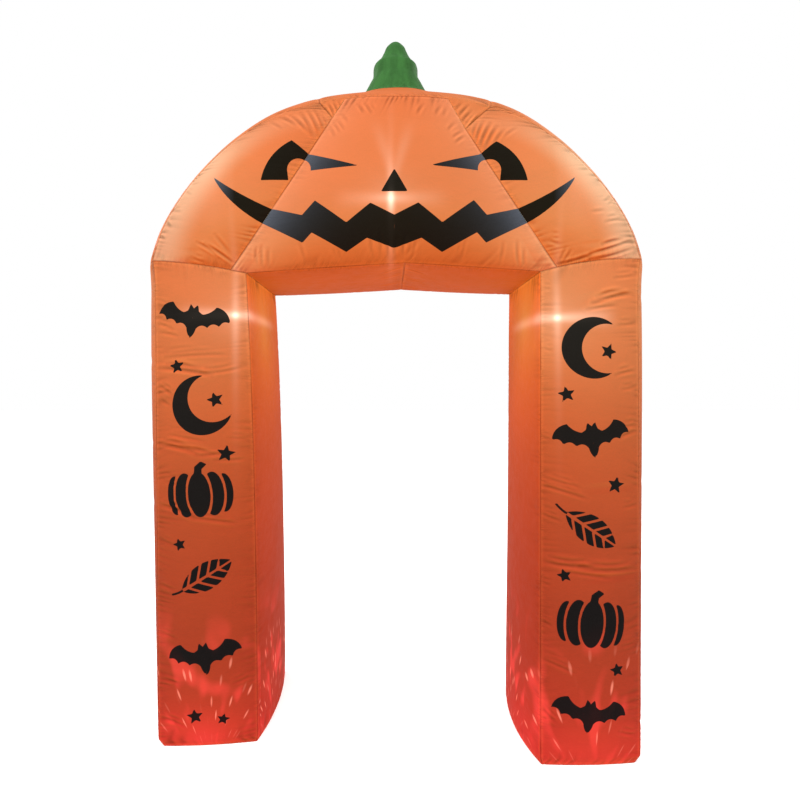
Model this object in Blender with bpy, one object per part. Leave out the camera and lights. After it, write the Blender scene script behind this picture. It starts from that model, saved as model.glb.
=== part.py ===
"""Inflatable arch: a half-round pumpkin head with a stem, on two box-section legs.

It is sewn from flat-cut panels of thin coated polyester and held up by air, so every panel is
one closed sheet of its own, bowed between its seams.  Neighbouring panels share each seam's
curve and stop just short of it.  X runs across the doorway, Y from the face (negative) to the
back, Z up, and the origin lies on the ground in the middle of the arch.  Metres throughout.
"""

import math
from collections import namedtuple

import bmesh
import bpy
from mathutils import Vector
from mathutils.bvhtree import BVHTree

# ---------------------------------------------------------------- the cloth and its seams
SHEET = 0.002            # thickness of every panel
SEAM_GAP = 0.0003        # clearance between two panels that share a seam
SEAM_BACK = 0.0024       # how far a panel's inner face stops short of its outer face's edge

# ---------------------------------------------------------------- the arch
HALF_DEPTH = 0.33        # front seams lie at -HALF_DEPTH, back seams at +HALF_DEPTH
FRONT, BACK = -1, 1

# One row for each leg.  X sizes are from the middle of the arch; "step" is how far a foot's
# corners stand back (+) or forward (-) of the head, because the arch stands a little askew.
# "inner_bow" is the inner panel's bow into the doorway, "inner_foot_bow" its edge's on the ground.
Leg = namedtuple("Leg", "name side outer_top outer_foot inner_top inner_foot inner_power "
                        "waist_outer waist_inner waist_rise step_outer step_inner "
                        "inner_bow inner_foot_bow")
LEFT = Leg("left", -1, 0.878, 0.880, 0.547, 0.519, 3.0,
           1.7905, 1.745, 0.005, 0.045, 0.079,
           0.012, 0.030)
RIGHT = Leg("right", 1, 0.878, 0.862, 0.524, 0.506, 1.0,
            1.797, 1.751, 0.012, -0.069, -0.080,
            0.008, 0.046)

CORNER_FLARE = 0.0096    # the outer seam turns out to the head's corner ...
FLARE_FROM = 0.93        # ... above this share of the leg's height
FOOT_DRAW = {"outer": 0.020, "inner": 0.004}     # the corner seams draw in at the ground ...
FOOT_DRAW_DEEP = 0.002   # ... and a little towards the leg's middle from front and back ...
FOOT_SHARE = 0.014       # ... below this share of the leg's height
FOOT_BOW = {"front": 0.010, "back": 0.010, "outer": 0.045}
LEG_BOW = {"front": 0.038, "back": 0.038, "outer": 0.018}
LEG_POWER = 4            # a leg's panels keep their bow almost to their ends
WAIST_BOW = 0.020        # the seam between a leg and the face, forward
BAND_BOW_WAIST = 0.082   # the outer band at the head's corner, outward
BAND_LIFT_WAIST = 0.010

# ---------------------------------------------------------------- the head
# Front seam of the head's outline, from the corner over a leg to the middle of the crown.
Rim = namedtuple("Rim", "x z")
OUTLINE = (
    Rim(0.8876, 1.794), Rim(0.8527, 1.9014), Rim(0.7909, 2.0105), Rim(0.7036, 2.1195),
    Rim(0.5873, 2.2270), Rim(0.4455, 2.3150), Rim(0.2800, 2.3650), Rim(0.1200, 2.3860),
    Rim(0.0000, 2.3890),
)
GORE_FOOT = 0.845        # where a gore seam starts, as a share of the waist seam from outside
GORE_BOW = Vector((0.013, 0.050, 0.008))     # the gore seams: inward, forward and down
CENTRE_BOW = 0.055       # the face's centre gore, forward of its seams
SIDE_BOW = 0.045         # a side gore, forward of its seams
# Ear of the crown cap: the shares of the outline where its two seams reach the crown, the joint
# where they meet the gore seam, and the outward bow of the seam over the crown behind it.
Ear = namedtuple("Ear", "outer inner joint_x joint_z crown_bow")
EARS = {LEFT.name: Ear(0.750, 0.820, -0.232, 2.301, 0.107),
        RIGHT.name: Ear(0.704, 0.820, 0.248, 2.261, 0.118)}
EAR_JOINT_BOW = 0.022    # that joint, forward of the crown's front seam
HILL = 0.031             # the cap is drawn up where the stem is sewn on ...
HILL_RADIUS = 0.160      # ... within about this distance of its axis

SOFFIT_MIDDLE = Vector((0.030, 0.0, 1.777))
SOFFIT_MIDDLE_BOW = 0.030    # the middle of the doorway's top edge, forward and back
SOFFIT_BOW = 0.018       # the soffit's halves, downward

# ---------------------------------------------------------------- the stem
Ring = namedtuple("Ring", "radius z")
STEM = (
    Ring(0.1340, 2.5080), Ring(0.1185, 2.5380), Ring(0.1060, 2.5640), Ring(0.0940, 2.5880),
    Ring(0.0910, 2.6020), Ring(0.0905, 2.6270), Ring(0.0865, 2.6470), Ring(0.0780, 2.6575),
    Ring(0.0640, 2.6700), Ring(0.0500, 2.6940), Ring(0.0400, 2.7170), Ring(0.0310, 2.7290),
    Ring(0.0170, 2.7400), Ring(0.0, 2.7440),
)
STEM_STEPS = 10          # facets round half of the stem
SEAT_PROBES = 8          # places tried along each facet where the stem meets the cap
RAY_HEIGHT = 3.0

# ---------------------------------------------------------------- folds
# A soft horizontal crease across a leg: its height as a share of the leg, and its depth on
# the front panel and on the outer band.
Fold = namedtuple("Fold", "share front band")
LEG_FOLDS = {
    LEFT.name: (Fold(0.795, 0.007, 0.010), Fold(0.622, 0.005, 0.008), Fold(0.497, 0.008, 0.010)),
    RIGHT.name: (Fold(0.925, 0.009, 0.009), Fold(0.545, 0.005, 0.008), Fold(0.372, 0.008, 0.010)),
}
FOLD_REACH = 0.65        # a crease fades out this share of the way across its panel
FOLD_HALF = 0.009        # half of a fold's width, as a share of the leg's height
# A crease that runs in from the crown seam across a side gore.
GORE_FOLDS = {LEFT.name: (0.075, 0.62), RIGHT.name: (0.060, 0.110)}
GORE_FOLD_HALF = 0.016
GORE_FOLD_DEPTH = 0.006

# ---------------------------------------------------------------- how finely panels are cut
LEG_ROWS = (0.0, FOOT_SHARE, 0.035, 0.08, 0.16, 0.26, 0.36, 0.46, 0.56, 0.66, 0.76, 0.86, 0.94, 1.0)
GORE_ROWS = (0.0, 0.13, 0.25, 0.37, 0.49, 0.61, 0.74, 0.87, 1.0)
GORE_COLUMNS = 6         # across a side gore, and along the ear's sloping seams
DEPTH_STEPS = 8          # from a front seam to its back seam
SOFFIT_STEPS = 4         # along half of the doorway's top
EAR_STEPS = 2            # along the top of an ear
CAP_STEPS = SOFFIT_STEPS + 1     # from an ear to the middle of the crown
EAR_JOINT_SHARE = 0.88   # where the ear's joint lies on the side of the centre gore
FOLD_CLEAR = 2.2         # a row within this many half-widths of a fold gives way to it
SLOPE_STEP = 0.02        # share of the outline to either side that gives its slope
MERGE = 1e-6             # points closer than this are one point
SHARP_ANGLE = math.radians(50)

# ---------------------------------------------------------------- the cloth's colours
ORANGE, ORANGE_ROUGHNESS = (0.86, 0.24, 0.06), 0.45
GREEN, GREEN_ROUGHNESS = (0.05, 0.20, 0.05), 0.50


# ================================================================ curves
def steps(count, start=0.0, end=1.0):
    """Evenly spaced shares from start to end."""
    return [start + (end - start) * i / count for i in range(count + 1)]


def with_folds(rows, places, half):
    """Rows, with three more round each fold and none crowding them."""
    kept = [r for r in rows
            if r in (0.0, 1.0) or all(abs(r - p) > FOLD_CLEAR * half for p in places)]
    for place in places:
        kept += [place - half, place, place + half]
    return sorted(kept)


def bowed(start, end, bow=Vector((0, 0, 0))):
    """A seam from start to end that bows by a vector at its middle."""
    return lambda t: start.lerp(end, t) + bow * (4.0 * t * (1.0 - t))


def stretch(curve, start, end):
    """Part of a curve, from one share of it to another."""
    return lambda t: curve(start + (end - start) * t)


def chain(curves, breaks):
    """Several curves in a row, each over its own share of the whole."""
    def whole(t):
        for curve, low, high in zip(curves, breaks, breaks[1:]):
            if t <= high:
                return curve((t - low) / (high - low))
        return curves[-1](1.0)
    return whole


def smooth_row(rows, t):
    """Point on a smooth curve through a table's rows (Catmull-Rom), t from 0 to 1."""
    span = min(int(t * (len(rows) - 1)), len(rows) - 2)
    part = t * (len(rows) - 1) - span
    before, start, end, after = (
        Vector(rows[min(max(span + k, 0), len(rows) - 1)]) for k in (-1, 0, 1, 2))
    lean = (end - before) * 0.5
    leave = (after - start) * 0.5
    return (start * (2 * part**3 - 3 * part**2 + 1) + lean * (part**3 - 2 * part**2 + part)
            + end * (3 * part**2 - 2 * part**3) + leave * (part**3 - part**2))


# ================================================================ seams
def corner_seam(leg, edge, face):
    """Upright seam at a leg's outer or inner edge, on the front or back, from the ground up."""
    def seam(v):
        draw = max(0.0, 1.0 - v / FOOT_SHARE)
        if edge == "outer":
            flare = max(0.0, (v - FLARE_FROM) / (1.0 - FLARE_FROM)) ** 2
            x = leg.outer_foot + (leg.outer_top - leg.outer_foot) * v
            x += CORNER_FLARE * flare - FOOT_DRAW[edge] * draw
            step, height = leg.step_outer, leg.waist_outer
        else:
            x = leg.inner_foot + (leg.inner_top - leg.inner_foot) * v**leg.inner_power
            x += FOOT_DRAW[edge] * draw
            step, height = leg.step_inner, leg.waist_inner
        y = face * (HALF_DEPTH - FOOT_DRAW_DEEP * draw) + step * (1.0 - v)
        return Vector((leg.side * x, y, height * v))
    return seam


def waist_seam(leg, face):
    """Seam between a leg and the face or back, from the outer corner to the doorway."""
    outer = corner_seam(leg, "outer", face)(1.0)
    inner = corner_seam(leg, "inner", face)(1.0)
    return bowed(outer, inner, Vector((0, face * WAIST_BOW, leg.waist_rise)))


def band_waist(leg):
    """Seam between a leg's outer band and the crown, from front to back."""
    bow = Vector((leg.side * BAND_BOW_WAIST, 0, BAND_LIFT_WAIST))
    return bowed(corner_seam(leg, "outer", FRONT)(1.0), corner_seam(leg, "outer", BACK)(1.0), bow)


def doorway_corner(leg):
    """Seam between a leg's inner panel and the soffit, from front to back."""
    return bowed(corner_seam(leg, "inner", FRONT)(1.0), corner_seam(leg, "inner", BACK)(1.0))


def crown_seam(leg, face):
    """Head's outline on one side, from the corner over the leg to the middle of the crown."""
    def seam(t):
        x, z = smooth_row(OUTLINE, t)
        z += (leg.waist_outer - OUTLINE[0].z) * (1.0 - t) ** 3
        return Vector((leg.side * x, face * HALF_DEPTH, z))
    return seam


def cross_seam(leg):
    """Seam over the crown between a haunch band and the cap, from front to back."""
    share = EARS[leg.name].outer
    front, back = crown_seam(leg, FRONT)(share), crown_seam(leg, BACK)(share)
    outline = crown_seam(leg, FRONT)
    along = outline(share + SLOPE_STEP) - outline(share - SLOPE_STEP)
    outward = Vector((along.z, 0, -along.x)).normalized()
    if outward.z < 0:
        outward.negate()
    return bowed(front, back, outward * EARS[leg.name].crown_bow)


def ear_joint(leg, face):
    """Point where an ear's two seams meet the gore seam."""
    ear = EARS[leg.name]
    return Vector((ear.joint_x, face * (HALF_DEPTH + EAR_JOINT_BOW), ear.joint_z))


def ear_seam(leg, face, share):
    """Sloping seam of an ear, from a place on the crown seam down to the joint."""
    return bowed(crown_seam(leg, face)(share), ear_joint(leg, face))


def gore_seam(leg, face):
    """Seam between the centre gore and a side gore, from the waist seam up to the ear."""
    foot = waist_seam(leg, face)(GORE_FOOT)
    bow = Vector((-leg.side * GORE_BOW.x, face * GORE_BOW.y, -GORE_BOW.z))
    return bowed(foot, ear_joint(leg, face), bow)


def doorway_edge(leg, face):
    """Doorway's top edge, from a leg to the soffit's middle seam."""
    corner = corner_seam(leg, "inner", face)(1.0)
    middle = SOFFIT_MIDDLE + Vector((0, face * (HALF_DEPTH + SOFFIT_MIDDLE_BOW), 0))
    return bowed(corner, middle, Vector((0, face * SOFFIT_MIDDLE_BOW / 4, 0)))


def foot_edge(leg, name):
    """Edge of a leg's base under one of its panels, in the panel's own direction."""
    start, end, outward = leg_sides(leg)[name]
    bow = leg.inner_foot_bow if name == "inner" else FOOT_BOW[name]
    return bowed(start(0.0), end(0.0), outward * bow)


def leg_sides(leg):
    """A leg's four panels: the corner seams at their two sides, and the way they face."""
    seam = {(edge, face): corner_seam(leg, edge, face)
            for edge in ("outer", "inner") for face in (FRONT, BACK)}
    return {
        "front": (seam["outer", FRONT], seam["inner", FRONT], Vector((0, FRONT, 0))),
        "back": (seam["outer", BACK], seam["inner", BACK], Vector((0, BACK, 0))),
        "outer": (seam["outer", FRONT], seam["outer", BACK], Vector((leg.side, 0, 0))),
        "inner": (seam["inner", FRONT], seam["inner", BACK], Vector((-leg.side, 0, 0))),
    }


# ================================================================ surfaces
def patch(bottom, top, left, right, bow=Vector((0, 0, 0)), power_v=2, relief=None):
    """A panel between four seams (a Coons patch), bowed by a vector in its middle."""
    low_left, low_right, high_left, high_right = bottom(0), bottom(1), top(0), top(1)

    def surface(u, v):
        point = bottom(u) * (1 - v) + top(u) * v + left(v) * (1 - u) + right(v) * u
        point -= (low_left * ((1 - u) * (1 - v)) + low_right * (u * (1 - v))
                  + high_left * ((1 - u) * v) + high_right * (u * v))
        across = 4.0 * u * (1.0 - u)
        point += bow * (across * (1.0 - abs(2.0 * v - 1.0) ** power_v))
        if relief:
            point += relief(u, v)
        return point
    return surface


def crease(place, v, half):
    """Depth share of a crease at a place: 1 on it, 0 from one half-width away."""
    return max(0.0, 1.0 - abs(v - place) / half)


# ================================================================ panels
def grid(shape, surface, columns, rows):
    """Add a surface to a mesh as quads over the given shares."""
    points = [[shape.verts.new(surface(u, v)) for u in columns] for v in rows]
    for low, high in zip(points, points[1:]):
        for k in range(len(columns) - 1):
            shape.faces.new((low[k], low[k + 1], high[k + 1], high[k]))


def mitre(vertex):
    """Direction from a boundary vertex into its panel, as long as one unit of set-back needs."""
    inward = []
    for edge in vertex.link_edges:
        if edge.is_boundary:
            face = edge.link_faces[0]
            loop = next(l for l in face.loops if l.edge == edge)
            along = (loop.link_loop_next.vert.co - loop.vert.co).normalized()
            inward.append(face.normal.cross(along))
    first, second = inward
    return (first + second) / (1.0 + first.dot(second))


def thicken(shape):
    """Turn an open surface into a closed sheet, its edges mitred for the seams.

    The surface is cut into triangles first, so that its two skins bend along the same lines.
    """
    bmesh.ops.triangulate(shape, faces=shape.faces, quad_method="SHORT_EDGE")
    shape.normal_update()
    rim = [e for e in shape.edges if e.is_boundary]
    inset = {v: mitre(v) for v in shape.verts if v.is_boundary}
    lining = {}
    for vertex in list(shape.verts):
        inner = vertex.co - vertex.normal * SHEET
        if vertex in inset:
            inner += inset[vertex] * (SEAM_GAP / 2 + SEAM_BACK)
        lining[vertex] = inner
    for vertex, way in inset.items():
        vertex.co += way * (SEAM_GAP / 2)
    outer_faces = list(shape.faces)
    starts = [next(l for l in e.link_faces[0].loops if l.edge == e) for e in rim]
    starts = [(l.vert, l.link_loop_next.vert) for l in starts]
    inner_of = {v: shape.verts.new(place) for v, place in lining.items()}
    for face in outer_faces:
        shape.faces.new([inner_of[v] for v in reversed(face.verts)])
    for start, end in starts:
        shape.faces.new((end, start, inner_of[start], inner_of[end]))


def sew(name, shape, finish, outward):
    """Make the sheet an object, its outer face turned the given way."""
    bmesh.ops.remove_doubles(shape, verts=shape.verts, dist=MERGE)
    shape.normal_update()
    facing = sum((f.normal * f.calc_area() for f in shape.faces), Vector())
    if facing.dot(outward) < 0:
        bmesh.ops.reverse_faces(shape, faces=shape.faces)
    thicken(shape)
    mesh = bpy.data.meshes.new(name)
    shape.to_mesh(mesh)
    shape.free()
    mesh.materials.append(finish)
    mesh.shade_smooth()
    mesh.set_sharp_from_angle(angle=SHARP_ANGLE)
    panel = bpy.data.objects.new(name, mesh)
    bpy.context.scene.collection.objects.link(panel)
    return panel


def cut_panel(name, surface, columns, rows, finish, outward):
    """One panel cut from one surface."""
    shape = bmesh.new()
    grid(shape, surface, columns, rows)
    return sew(name, shape, finish, outward)


# ================================================================ the arch's pieces
def leg_rows(leg):
    return with_folds(LEG_ROWS, [fold.share for fold in LEG_FOLDS[leg.name]], FOLD_HALF)


def gore_rows(leg):
    return with_folds(GORE_ROWS, GORE_FOLDS[leg.name], GORE_FOLD_HALF)


def waist_columns():
    """Shares along a waist seam: the side gore's, then the corner of the centre gore."""
    return steps(GORE_COLUMNS, 0.0, GORE_FOOT) + [1.0]


def build_leg(leg, finish):
    """Front, back, outer and inner panels of a leg, and its flat base."""
    tops = {"front": waist_seam(leg, FRONT), "back": waist_seam(leg, BACK),
            "outer": band_waist(leg), "inner": doorway_corner(leg)}
    for name, (left, right, outward) in leg_sides(leg).items():
        def relief(u, v, outward=outward, name=name):
            if name == "inner":
                return Vector((0, 0, 0))
            depth = sum(crease(fold.share, v, FOLD_HALF)
                        * (fold.band if name == "outer" else fold.front)
                        for fold in LEG_FOLDS[leg.name])
            return outward * (-depth * 4.0 * u * max(0.0, 1.0 - u / FOLD_REACH))
        bow = leg.inner_bow if name == "inner" else LEG_BOW[name]
        surface = patch(foot_edge(leg, name), tops[name], left, right, outward * bow,
                        LEG_POWER, relief)
        across = waist_columns() if name in ("front", "back") else steps(DEPTH_STEPS)
        cut_panel(f"leg_{leg.name}_{name}", surface, across, leg_rows(leg), finish, outward)
    build_base(leg, finish)


def build_base(leg, finish):
    """Flat base: one sheet cut to the outline that the four panels leave on the ground."""
    shape = bmesh.new()
    across, deep = waist_columns(), steps(DEPTH_STEPS)
    loop = [foot_edge(leg, "front")(t) for t in across[:-1]]
    loop += [foot_edge(leg, "inner")(t) for t in deep[:-1]]
    loop += [foot_edge(leg, "back")(t) for t in reversed(across[1:])]
    loop += [foot_edge(leg, "outer")(t) for t in reversed(deep[1:])]
    shape.faces.new([shape.verts.new((p.x, p.y, 0.0)) for p in loop])
    sew(f"leg_{leg.name}_base", shape, finish, Vector((0, 0, -1)))


def build_side_gore(leg, face, finish):
    """Side gore of the face or back, from the crown seam to the gore seam."""
    ear = EARS[leg.name]
    outward = Vector((0, face, 0))

    def relief(u, v):
        depth = sum(crease(place, v, GORE_FOLD_HALF) for place in GORE_FOLDS[leg.name])
        fade = max(0.0, 1.0 - u / FOLD_REACH)
        return outward * (-GORE_FOLD_DEPTH * depth * 4.0 * u * fade)
    surface = patch(stretch(waist_seam(leg, face), 0.0, GORE_FOOT),
                    ear_seam(leg, face, ear.outer),
                    stretch(crown_seam(leg, face), 0.0, ear.outer),
                    gore_seam(leg, face), outward * SIDE_BOW, relief=relief)
    place = "front" if face == FRONT else "back"
    cut_panel(f"head_{place}_{leg.name}", surface, steps(GORE_COLUMNS), gore_rows(leg),
              finish, outward)


def gore_side(leg, face):
    """Side of the centre gore: the gore seam, then the ear's inner seam up to the crown."""
    up_the_ear = ear_seam(leg, face, EARS[leg.name].inner)
    return chain((gore_seam(leg, face), stretch(up_the_ear, 1.0, 0.0)),
                 (0.0, EAR_JOINT_SHARE, 1.0))


def build_centre_gore(face, finish):
    """Centre gore of the face or back, from the doorway's top edge to the crown."""
    outward = Vector((0, face, 0))
    corner = 1.0 / (2 * CAP_STEPS)
    bottom = chain((stretch(waist_seam(LEFT, face), GORE_FOOT, 1.0), doorway_edge(LEFT, face),
                    stretch(doorway_edge(RIGHT, face), 1.0, 0.0),
                    stretch(waist_seam(RIGHT, face), 1.0, GORE_FOOT)),
                   (0.0, corner, 0.5, 1.0 - corner, 1.0))
    top = chain((stretch(crown_seam(LEFT, face), EARS[LEFT.name].inner, 1.0),
                 stretch(crown_seam(RIGHT, face), 1.0, EARS[RIGHT.name].inner)),
                (0.0, 0.5, 1.0))
    shape = bmesh.new()
    surface = patch(bottom, top, gore_side(LEFT, face), gore_side(RIGHT, face),
                    outward * CENTRE_BOW)
    sides = [[v * EAR_JOINT_SHARE for v in gore_rows(leg)] for leg in (LEFT, RIGHT)]
    above = steps(GORE_COLUMNS, EAR_JOINT_SHARE, 1.0)[1:]
    columns = steps(2 * CAP_STEPS)
    rows = list(zip(sides[0] + above, sides[1] + above))
    grid(shape, lambda u, row: surface(u, row[0] + (row[1] - row[0]) * u), columns, rows)
    place = "front" if face == FRONT else "back"
    sew(f"head_{place}_centre", shape, finish, outward)


def build_crown_band(leg, finish):
    """Haunch band over one side of the head, from the leg to the cap."""
    share = EARS[leg.name].outer
    surface = patch(band_waist(leg), cross_seam(leg),
                    stretch(crown_seam(leg, FRONT), 0.0, share),
                    stretch(crown_seam(leg, BACK), 0.0, share))
    cut_panel(f"crown_{leg.name}", surface, steps(DEPTH_STEPS), gore_rows(leg), finish,
              Vector((leg.side, 0, 1)))


def cap_edge(face):
    """Cap's edge along the crown seam, from the left cross seam to the right one."""
    return chain((stretch(crown_seam(LEFT, face), EARS[LEFT.name].outer, 1.0),
                  stretch(crown_seam(RIGHT, face), 1.0, EARS[RIGHT.name].outer)),
                 (0.0, 0.5, 1.0))


def cap_columns():
    """Shares across the cap: the top of an ear, then evenly to the middle, on each side."""
    columns = []
    for leg in (LEFT, RIGHT):
        ear = EARS[leg.name]
        tip = 0.5 * (ear.inner - ear.outer) / (1.0 - ear.outer)
        half = steps(EAR_STEPS, 0.0, tip) + steps(CAP_STEPS, tip, 0.5)[1:]
        columns.append(half)
    return columns[0] + [1.0 - u for u in reversed(columns[1][:-1])]


def cap_surface():
    """The crown's top, drawn up into a low hill round the stem."""
    def relief(u, v):
        x, y, _ = edge_to_edge(u, v)
        reach = math.hypot(x, y) / HILL_RADIUS
        return Vector((0, 0, HILL * math.exp(-reach**4)))
    seams = (cap_edge(FRONT), cap_edge(BACK), cross_seam(LEFT), cross_seam(RIGHT))
    edge_to_edge = patch(*seams)
    return patch(*seams, relief=relief)


def build_cap(finish):
    """Crown cap, with the pointed ears that reach down to the gore seams."""
    shape = bmesh.new()
    grid(shape, cap_surface(), cap_columns(), steps(DEPTH_STEPS))
    for leg in (LEFT, RIGHT):
        ear = EARS[leg.name]
        for face in (FRONT, BACK):
            outer, inner = (ear_seam(leg, face, share) for share in (ear.outer, ear.inner))
            top = stretch(crown_seam(leg, face), ear.outer, ear.inner)
            joint = ear_joint(leg, face)
            surface = patch(top, lambda _, joint=joint: joint, outer, inner)
            columns = steps(EAR_STEPS)
            if leg.side * face > 0:
                columns.reverse()
            grid(shape, surface, columns, list(reversed(steps(GORE_COLUMNS))))
    bmesh.ops.remove_doubles(shape, verts=shape.verts, dist=MERGE)
    bmesh.ops.recalc_face_normals(shape, faces=shape.faces)
    return sew("crown_cap", shape, finish, Vector((0, 0, 1)))


def build_soffit(leg, finish):
    """Half of the doorway's top, from a leg to the middle seam."""
    middle = bowed(doorway_edge(leg, FRONT)(1.0), doorway_edge(leg, BACK)(1.0))
    surface = patch(doorway_edge(leg, FRONT), doorway_edge(leg, BACK), doorway_corner(leg),
                    middle, Vector((0, 0, -SOFFIT_BOW)))
    cut_panel(f"soffit_{leg.name}", surface, steps(SOFFIT_STEPS), steps(DEPTH_STEPS), finish,
              Vector((0, 0, -1)))


# ================================================================ the stem
def stem_foot(cap):
    """Height of the stem's foot at each facet's corner, just clear of the cap below it."""
    tree = BVHTree.FromObject(cap, bpy.context.evaluated_depsgraph_get())

    def cap_height(x, y):
        return tree.ray_cast(Vector((x, y, RAY_HEIGHT)), Vector((0, 0, -1)))[0].z

    count = 2 * STEM_STEPS
    angles = [2 * math.pi * k / count for k in range(count)]
    ring = [Vector((math.cos(a), math.sin(a), 0)) * STEM[0].radius for a in angles]
    height = [cap_height(p.x, p.y) for p in ring]
    lift = [0.0] * count
    for k in range(count):
        after = (k + 1) % count
        for share in steps(SEAT_PROBES):
            spot = ring[k].lerp(ring[after], share)
            line = height[k] + (height[after] - height[k]) * share
            over = cap_height(spot.x, spot.y) - line
            lift[k] = max(lift[k], over)
            lift[after] = max(lift[after], over)
    return [h + l + SEAM_GAP / 2 for h, l in zip(height, lift)]


def build_stem(cap, finish):
    """Two halves of the stem, seamed at the sides, standing on the cap."""
    foot = stem_foot(cap)
    rows = range(len(STEM))
    for face, start in ((FRONT, STEM_STEPS), (BACK, 0)):
        def surface(k, row, start=start):
            radius, z = STEM[row]
            angle = math.pi * (start + k) / STEM_STEPS
            share = row / (len(STEM) - 1)
            z += (foot[(start + k) % (2 * STEM_STEPS)] - STEM[0].z) * (1.0 - share) ** 4
            return Vector((radius * math.cos(angle), radius * math.sin(angle), z))
        name = "stem_front" if face == FRONT else "stem_back"
        cut_panel(name, surface, range(STEM_STEPS + 1), rows, finish, Vector((0, face, 0)))


# ================================================================ materials and the whole
def cloth(name, colour, roughness):
    """Coated polyester in one colour."""
    finish = bpy.data.materials.new(name)
    finish.use_nodes = True
    shader = finish.node_tree.nodes["Principled BSDF"]
    shader.inputs["Base Color"].default_value = (*colour, 1.0)
    shader.inputs["Roughness"].default_value = roughness
    shader.inputs["Metallic"].default_value = 0.0
    return finish


def clear_scene():
    for thing in list(bpy.data.objects):
        bpy.data.objects.remove(thing, do_unlink=True)


def build():
    clear_scene()
    orange = cloth("orange_polyester", ORANGE, ORANGE_ROUGHNESS)
    green = cloth("green_polyester", GREEN, GREEN_ROUGHNESS)
    for leg in (LEFT, RIGHT):
        build_leg(leg, orange)
        build_crown_band(leg, orange)
        build_soffit(leg, orange)
        for face in (FRONT, BACK):
            build_side_gore(leg, face, orange)
    for face in (FRONT, BACK):
        build_centre_gore(face, orange)
    cap = build_cap(orange)
    build_stem(cap, green)


build()
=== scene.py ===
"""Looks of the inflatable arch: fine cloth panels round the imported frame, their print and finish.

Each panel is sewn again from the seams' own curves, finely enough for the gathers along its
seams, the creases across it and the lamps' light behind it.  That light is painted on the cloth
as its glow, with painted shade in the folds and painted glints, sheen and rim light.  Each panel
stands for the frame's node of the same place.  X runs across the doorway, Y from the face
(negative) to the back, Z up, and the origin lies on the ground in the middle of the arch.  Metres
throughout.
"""

import math
from collections import namedtuple

import bmesh
import bpy
import numpy as np
from bpy.props import FloatProperty, FloatVectorProperty, IntProperty, PointerProperty
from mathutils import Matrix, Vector
from mathutils.bvhtree import BVHTree


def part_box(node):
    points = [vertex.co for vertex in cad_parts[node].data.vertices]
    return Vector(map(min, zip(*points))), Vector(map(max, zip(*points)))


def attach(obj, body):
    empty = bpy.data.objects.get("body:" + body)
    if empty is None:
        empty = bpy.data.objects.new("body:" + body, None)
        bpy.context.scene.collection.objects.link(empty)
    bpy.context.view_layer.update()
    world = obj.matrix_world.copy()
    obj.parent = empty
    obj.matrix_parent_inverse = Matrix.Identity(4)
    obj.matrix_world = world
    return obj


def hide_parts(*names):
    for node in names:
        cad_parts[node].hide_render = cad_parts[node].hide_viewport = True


bl_info = {
    "name": "Inflatable arch",
    "version": (1, 0, 0),
    "blender": (4, 5, 0),
    "location": "View3D > Sidebar > Arch",
    "description": "Sews the cloth panels of a walk-through inflatable arch and sets its stage",
    "category": "Add Mesh",
}

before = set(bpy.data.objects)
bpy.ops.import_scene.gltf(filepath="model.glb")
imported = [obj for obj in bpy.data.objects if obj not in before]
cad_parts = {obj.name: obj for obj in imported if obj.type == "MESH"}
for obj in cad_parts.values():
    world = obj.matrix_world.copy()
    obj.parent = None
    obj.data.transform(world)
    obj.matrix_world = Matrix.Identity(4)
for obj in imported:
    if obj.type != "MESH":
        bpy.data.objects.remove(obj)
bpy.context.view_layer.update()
BODY = "root"
FRONT, BACK = -1, 1
FACE_NAMES = {FRONT: "front", BACK: "back"}

# -------- the cloth and its seams
SHEET = 0.0012           # thickness of the cloth
SEAM_GAP = 0.0003        # clearance between two panels that share a seam
SEAM_BACK = 0.0015       # how far a panel's inner face stops short of its outer face's edge
MERGE = 1e-6             # points closer than this become one
SHARP_ANGLE = math.radians(50)       # an edge that bends by more than this is shaded sharp
CUT_SLACK = 1.06         # a panel's rectangle is this much larger than its widest and tallest
CAP_SLACK = 1.04         # and the cap's is this much wider ...
CAP_EARS = 0.16          # ... and this much longer, for its ears

# -------- the arch
HALF_DEPTH = 0.33        # front seams lie at -HALF_DEPTH, back seams at +HALF_DEPTH

# One row for each leg: where its corner seams run, how its foot stands off the head, and the
# bow of its inner panel, upright and on the ground.
Leg = namedtuple("Leg", "name side outer_top outer_foot inner_top inner_foot inner_power "
                        "waist_outer waist_inner waist_rise step_outer step_inner "
                        "inner_bow inner_foot_bow")
LEFT = Leg("left", -1, 0.878, 0.880, 0.547, 0.519, 3.0,
           1.7905, 1.745, 0.005, 0.045, 0.079,
           0.012, 0.030)
RIGHT = Leg("right", 1, 0.878, 0.862, 0.524, 0.506, 1.0,
            1.797, 1.751, 0.012, -0.069, -0.080,
            0.008, 0.046)

CORNER_FLARE = 0.0096    # how far an outer corner seam swings out at its top ...
FLARE_FROM = 0.93        # ... from this share of its height
FOOT_DRAW = {"outer": 0.020, "inner": 0.004}     # how far a corner is drawn in at the ground,
FOOT_DRAW_DEEP = 0.002   # and how far from the front and the back ...
FOOT_SHARE = 0.014       # ... over this share of its height
FOOT_BOW = {"front": 0.010, "back": 0.010, "outer": 0.045}   # a panel's bow on the ground ...
LEG_BOW = {"front": 0.038, "back": 0.038, "outer": 0.018}    # ... and half-way up
LEG_POWER = 4            # the higher, the more evenly that bow runs up the leg
WAIST_BOW = 0.020        # how far the seam between a leg and the face or back stands out
BAND_BOW_WAIST = 0.082   # how far the seam over an outer band stands out ...
BAND_LIFT_WAIST = 0.010  # ... and up

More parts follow.
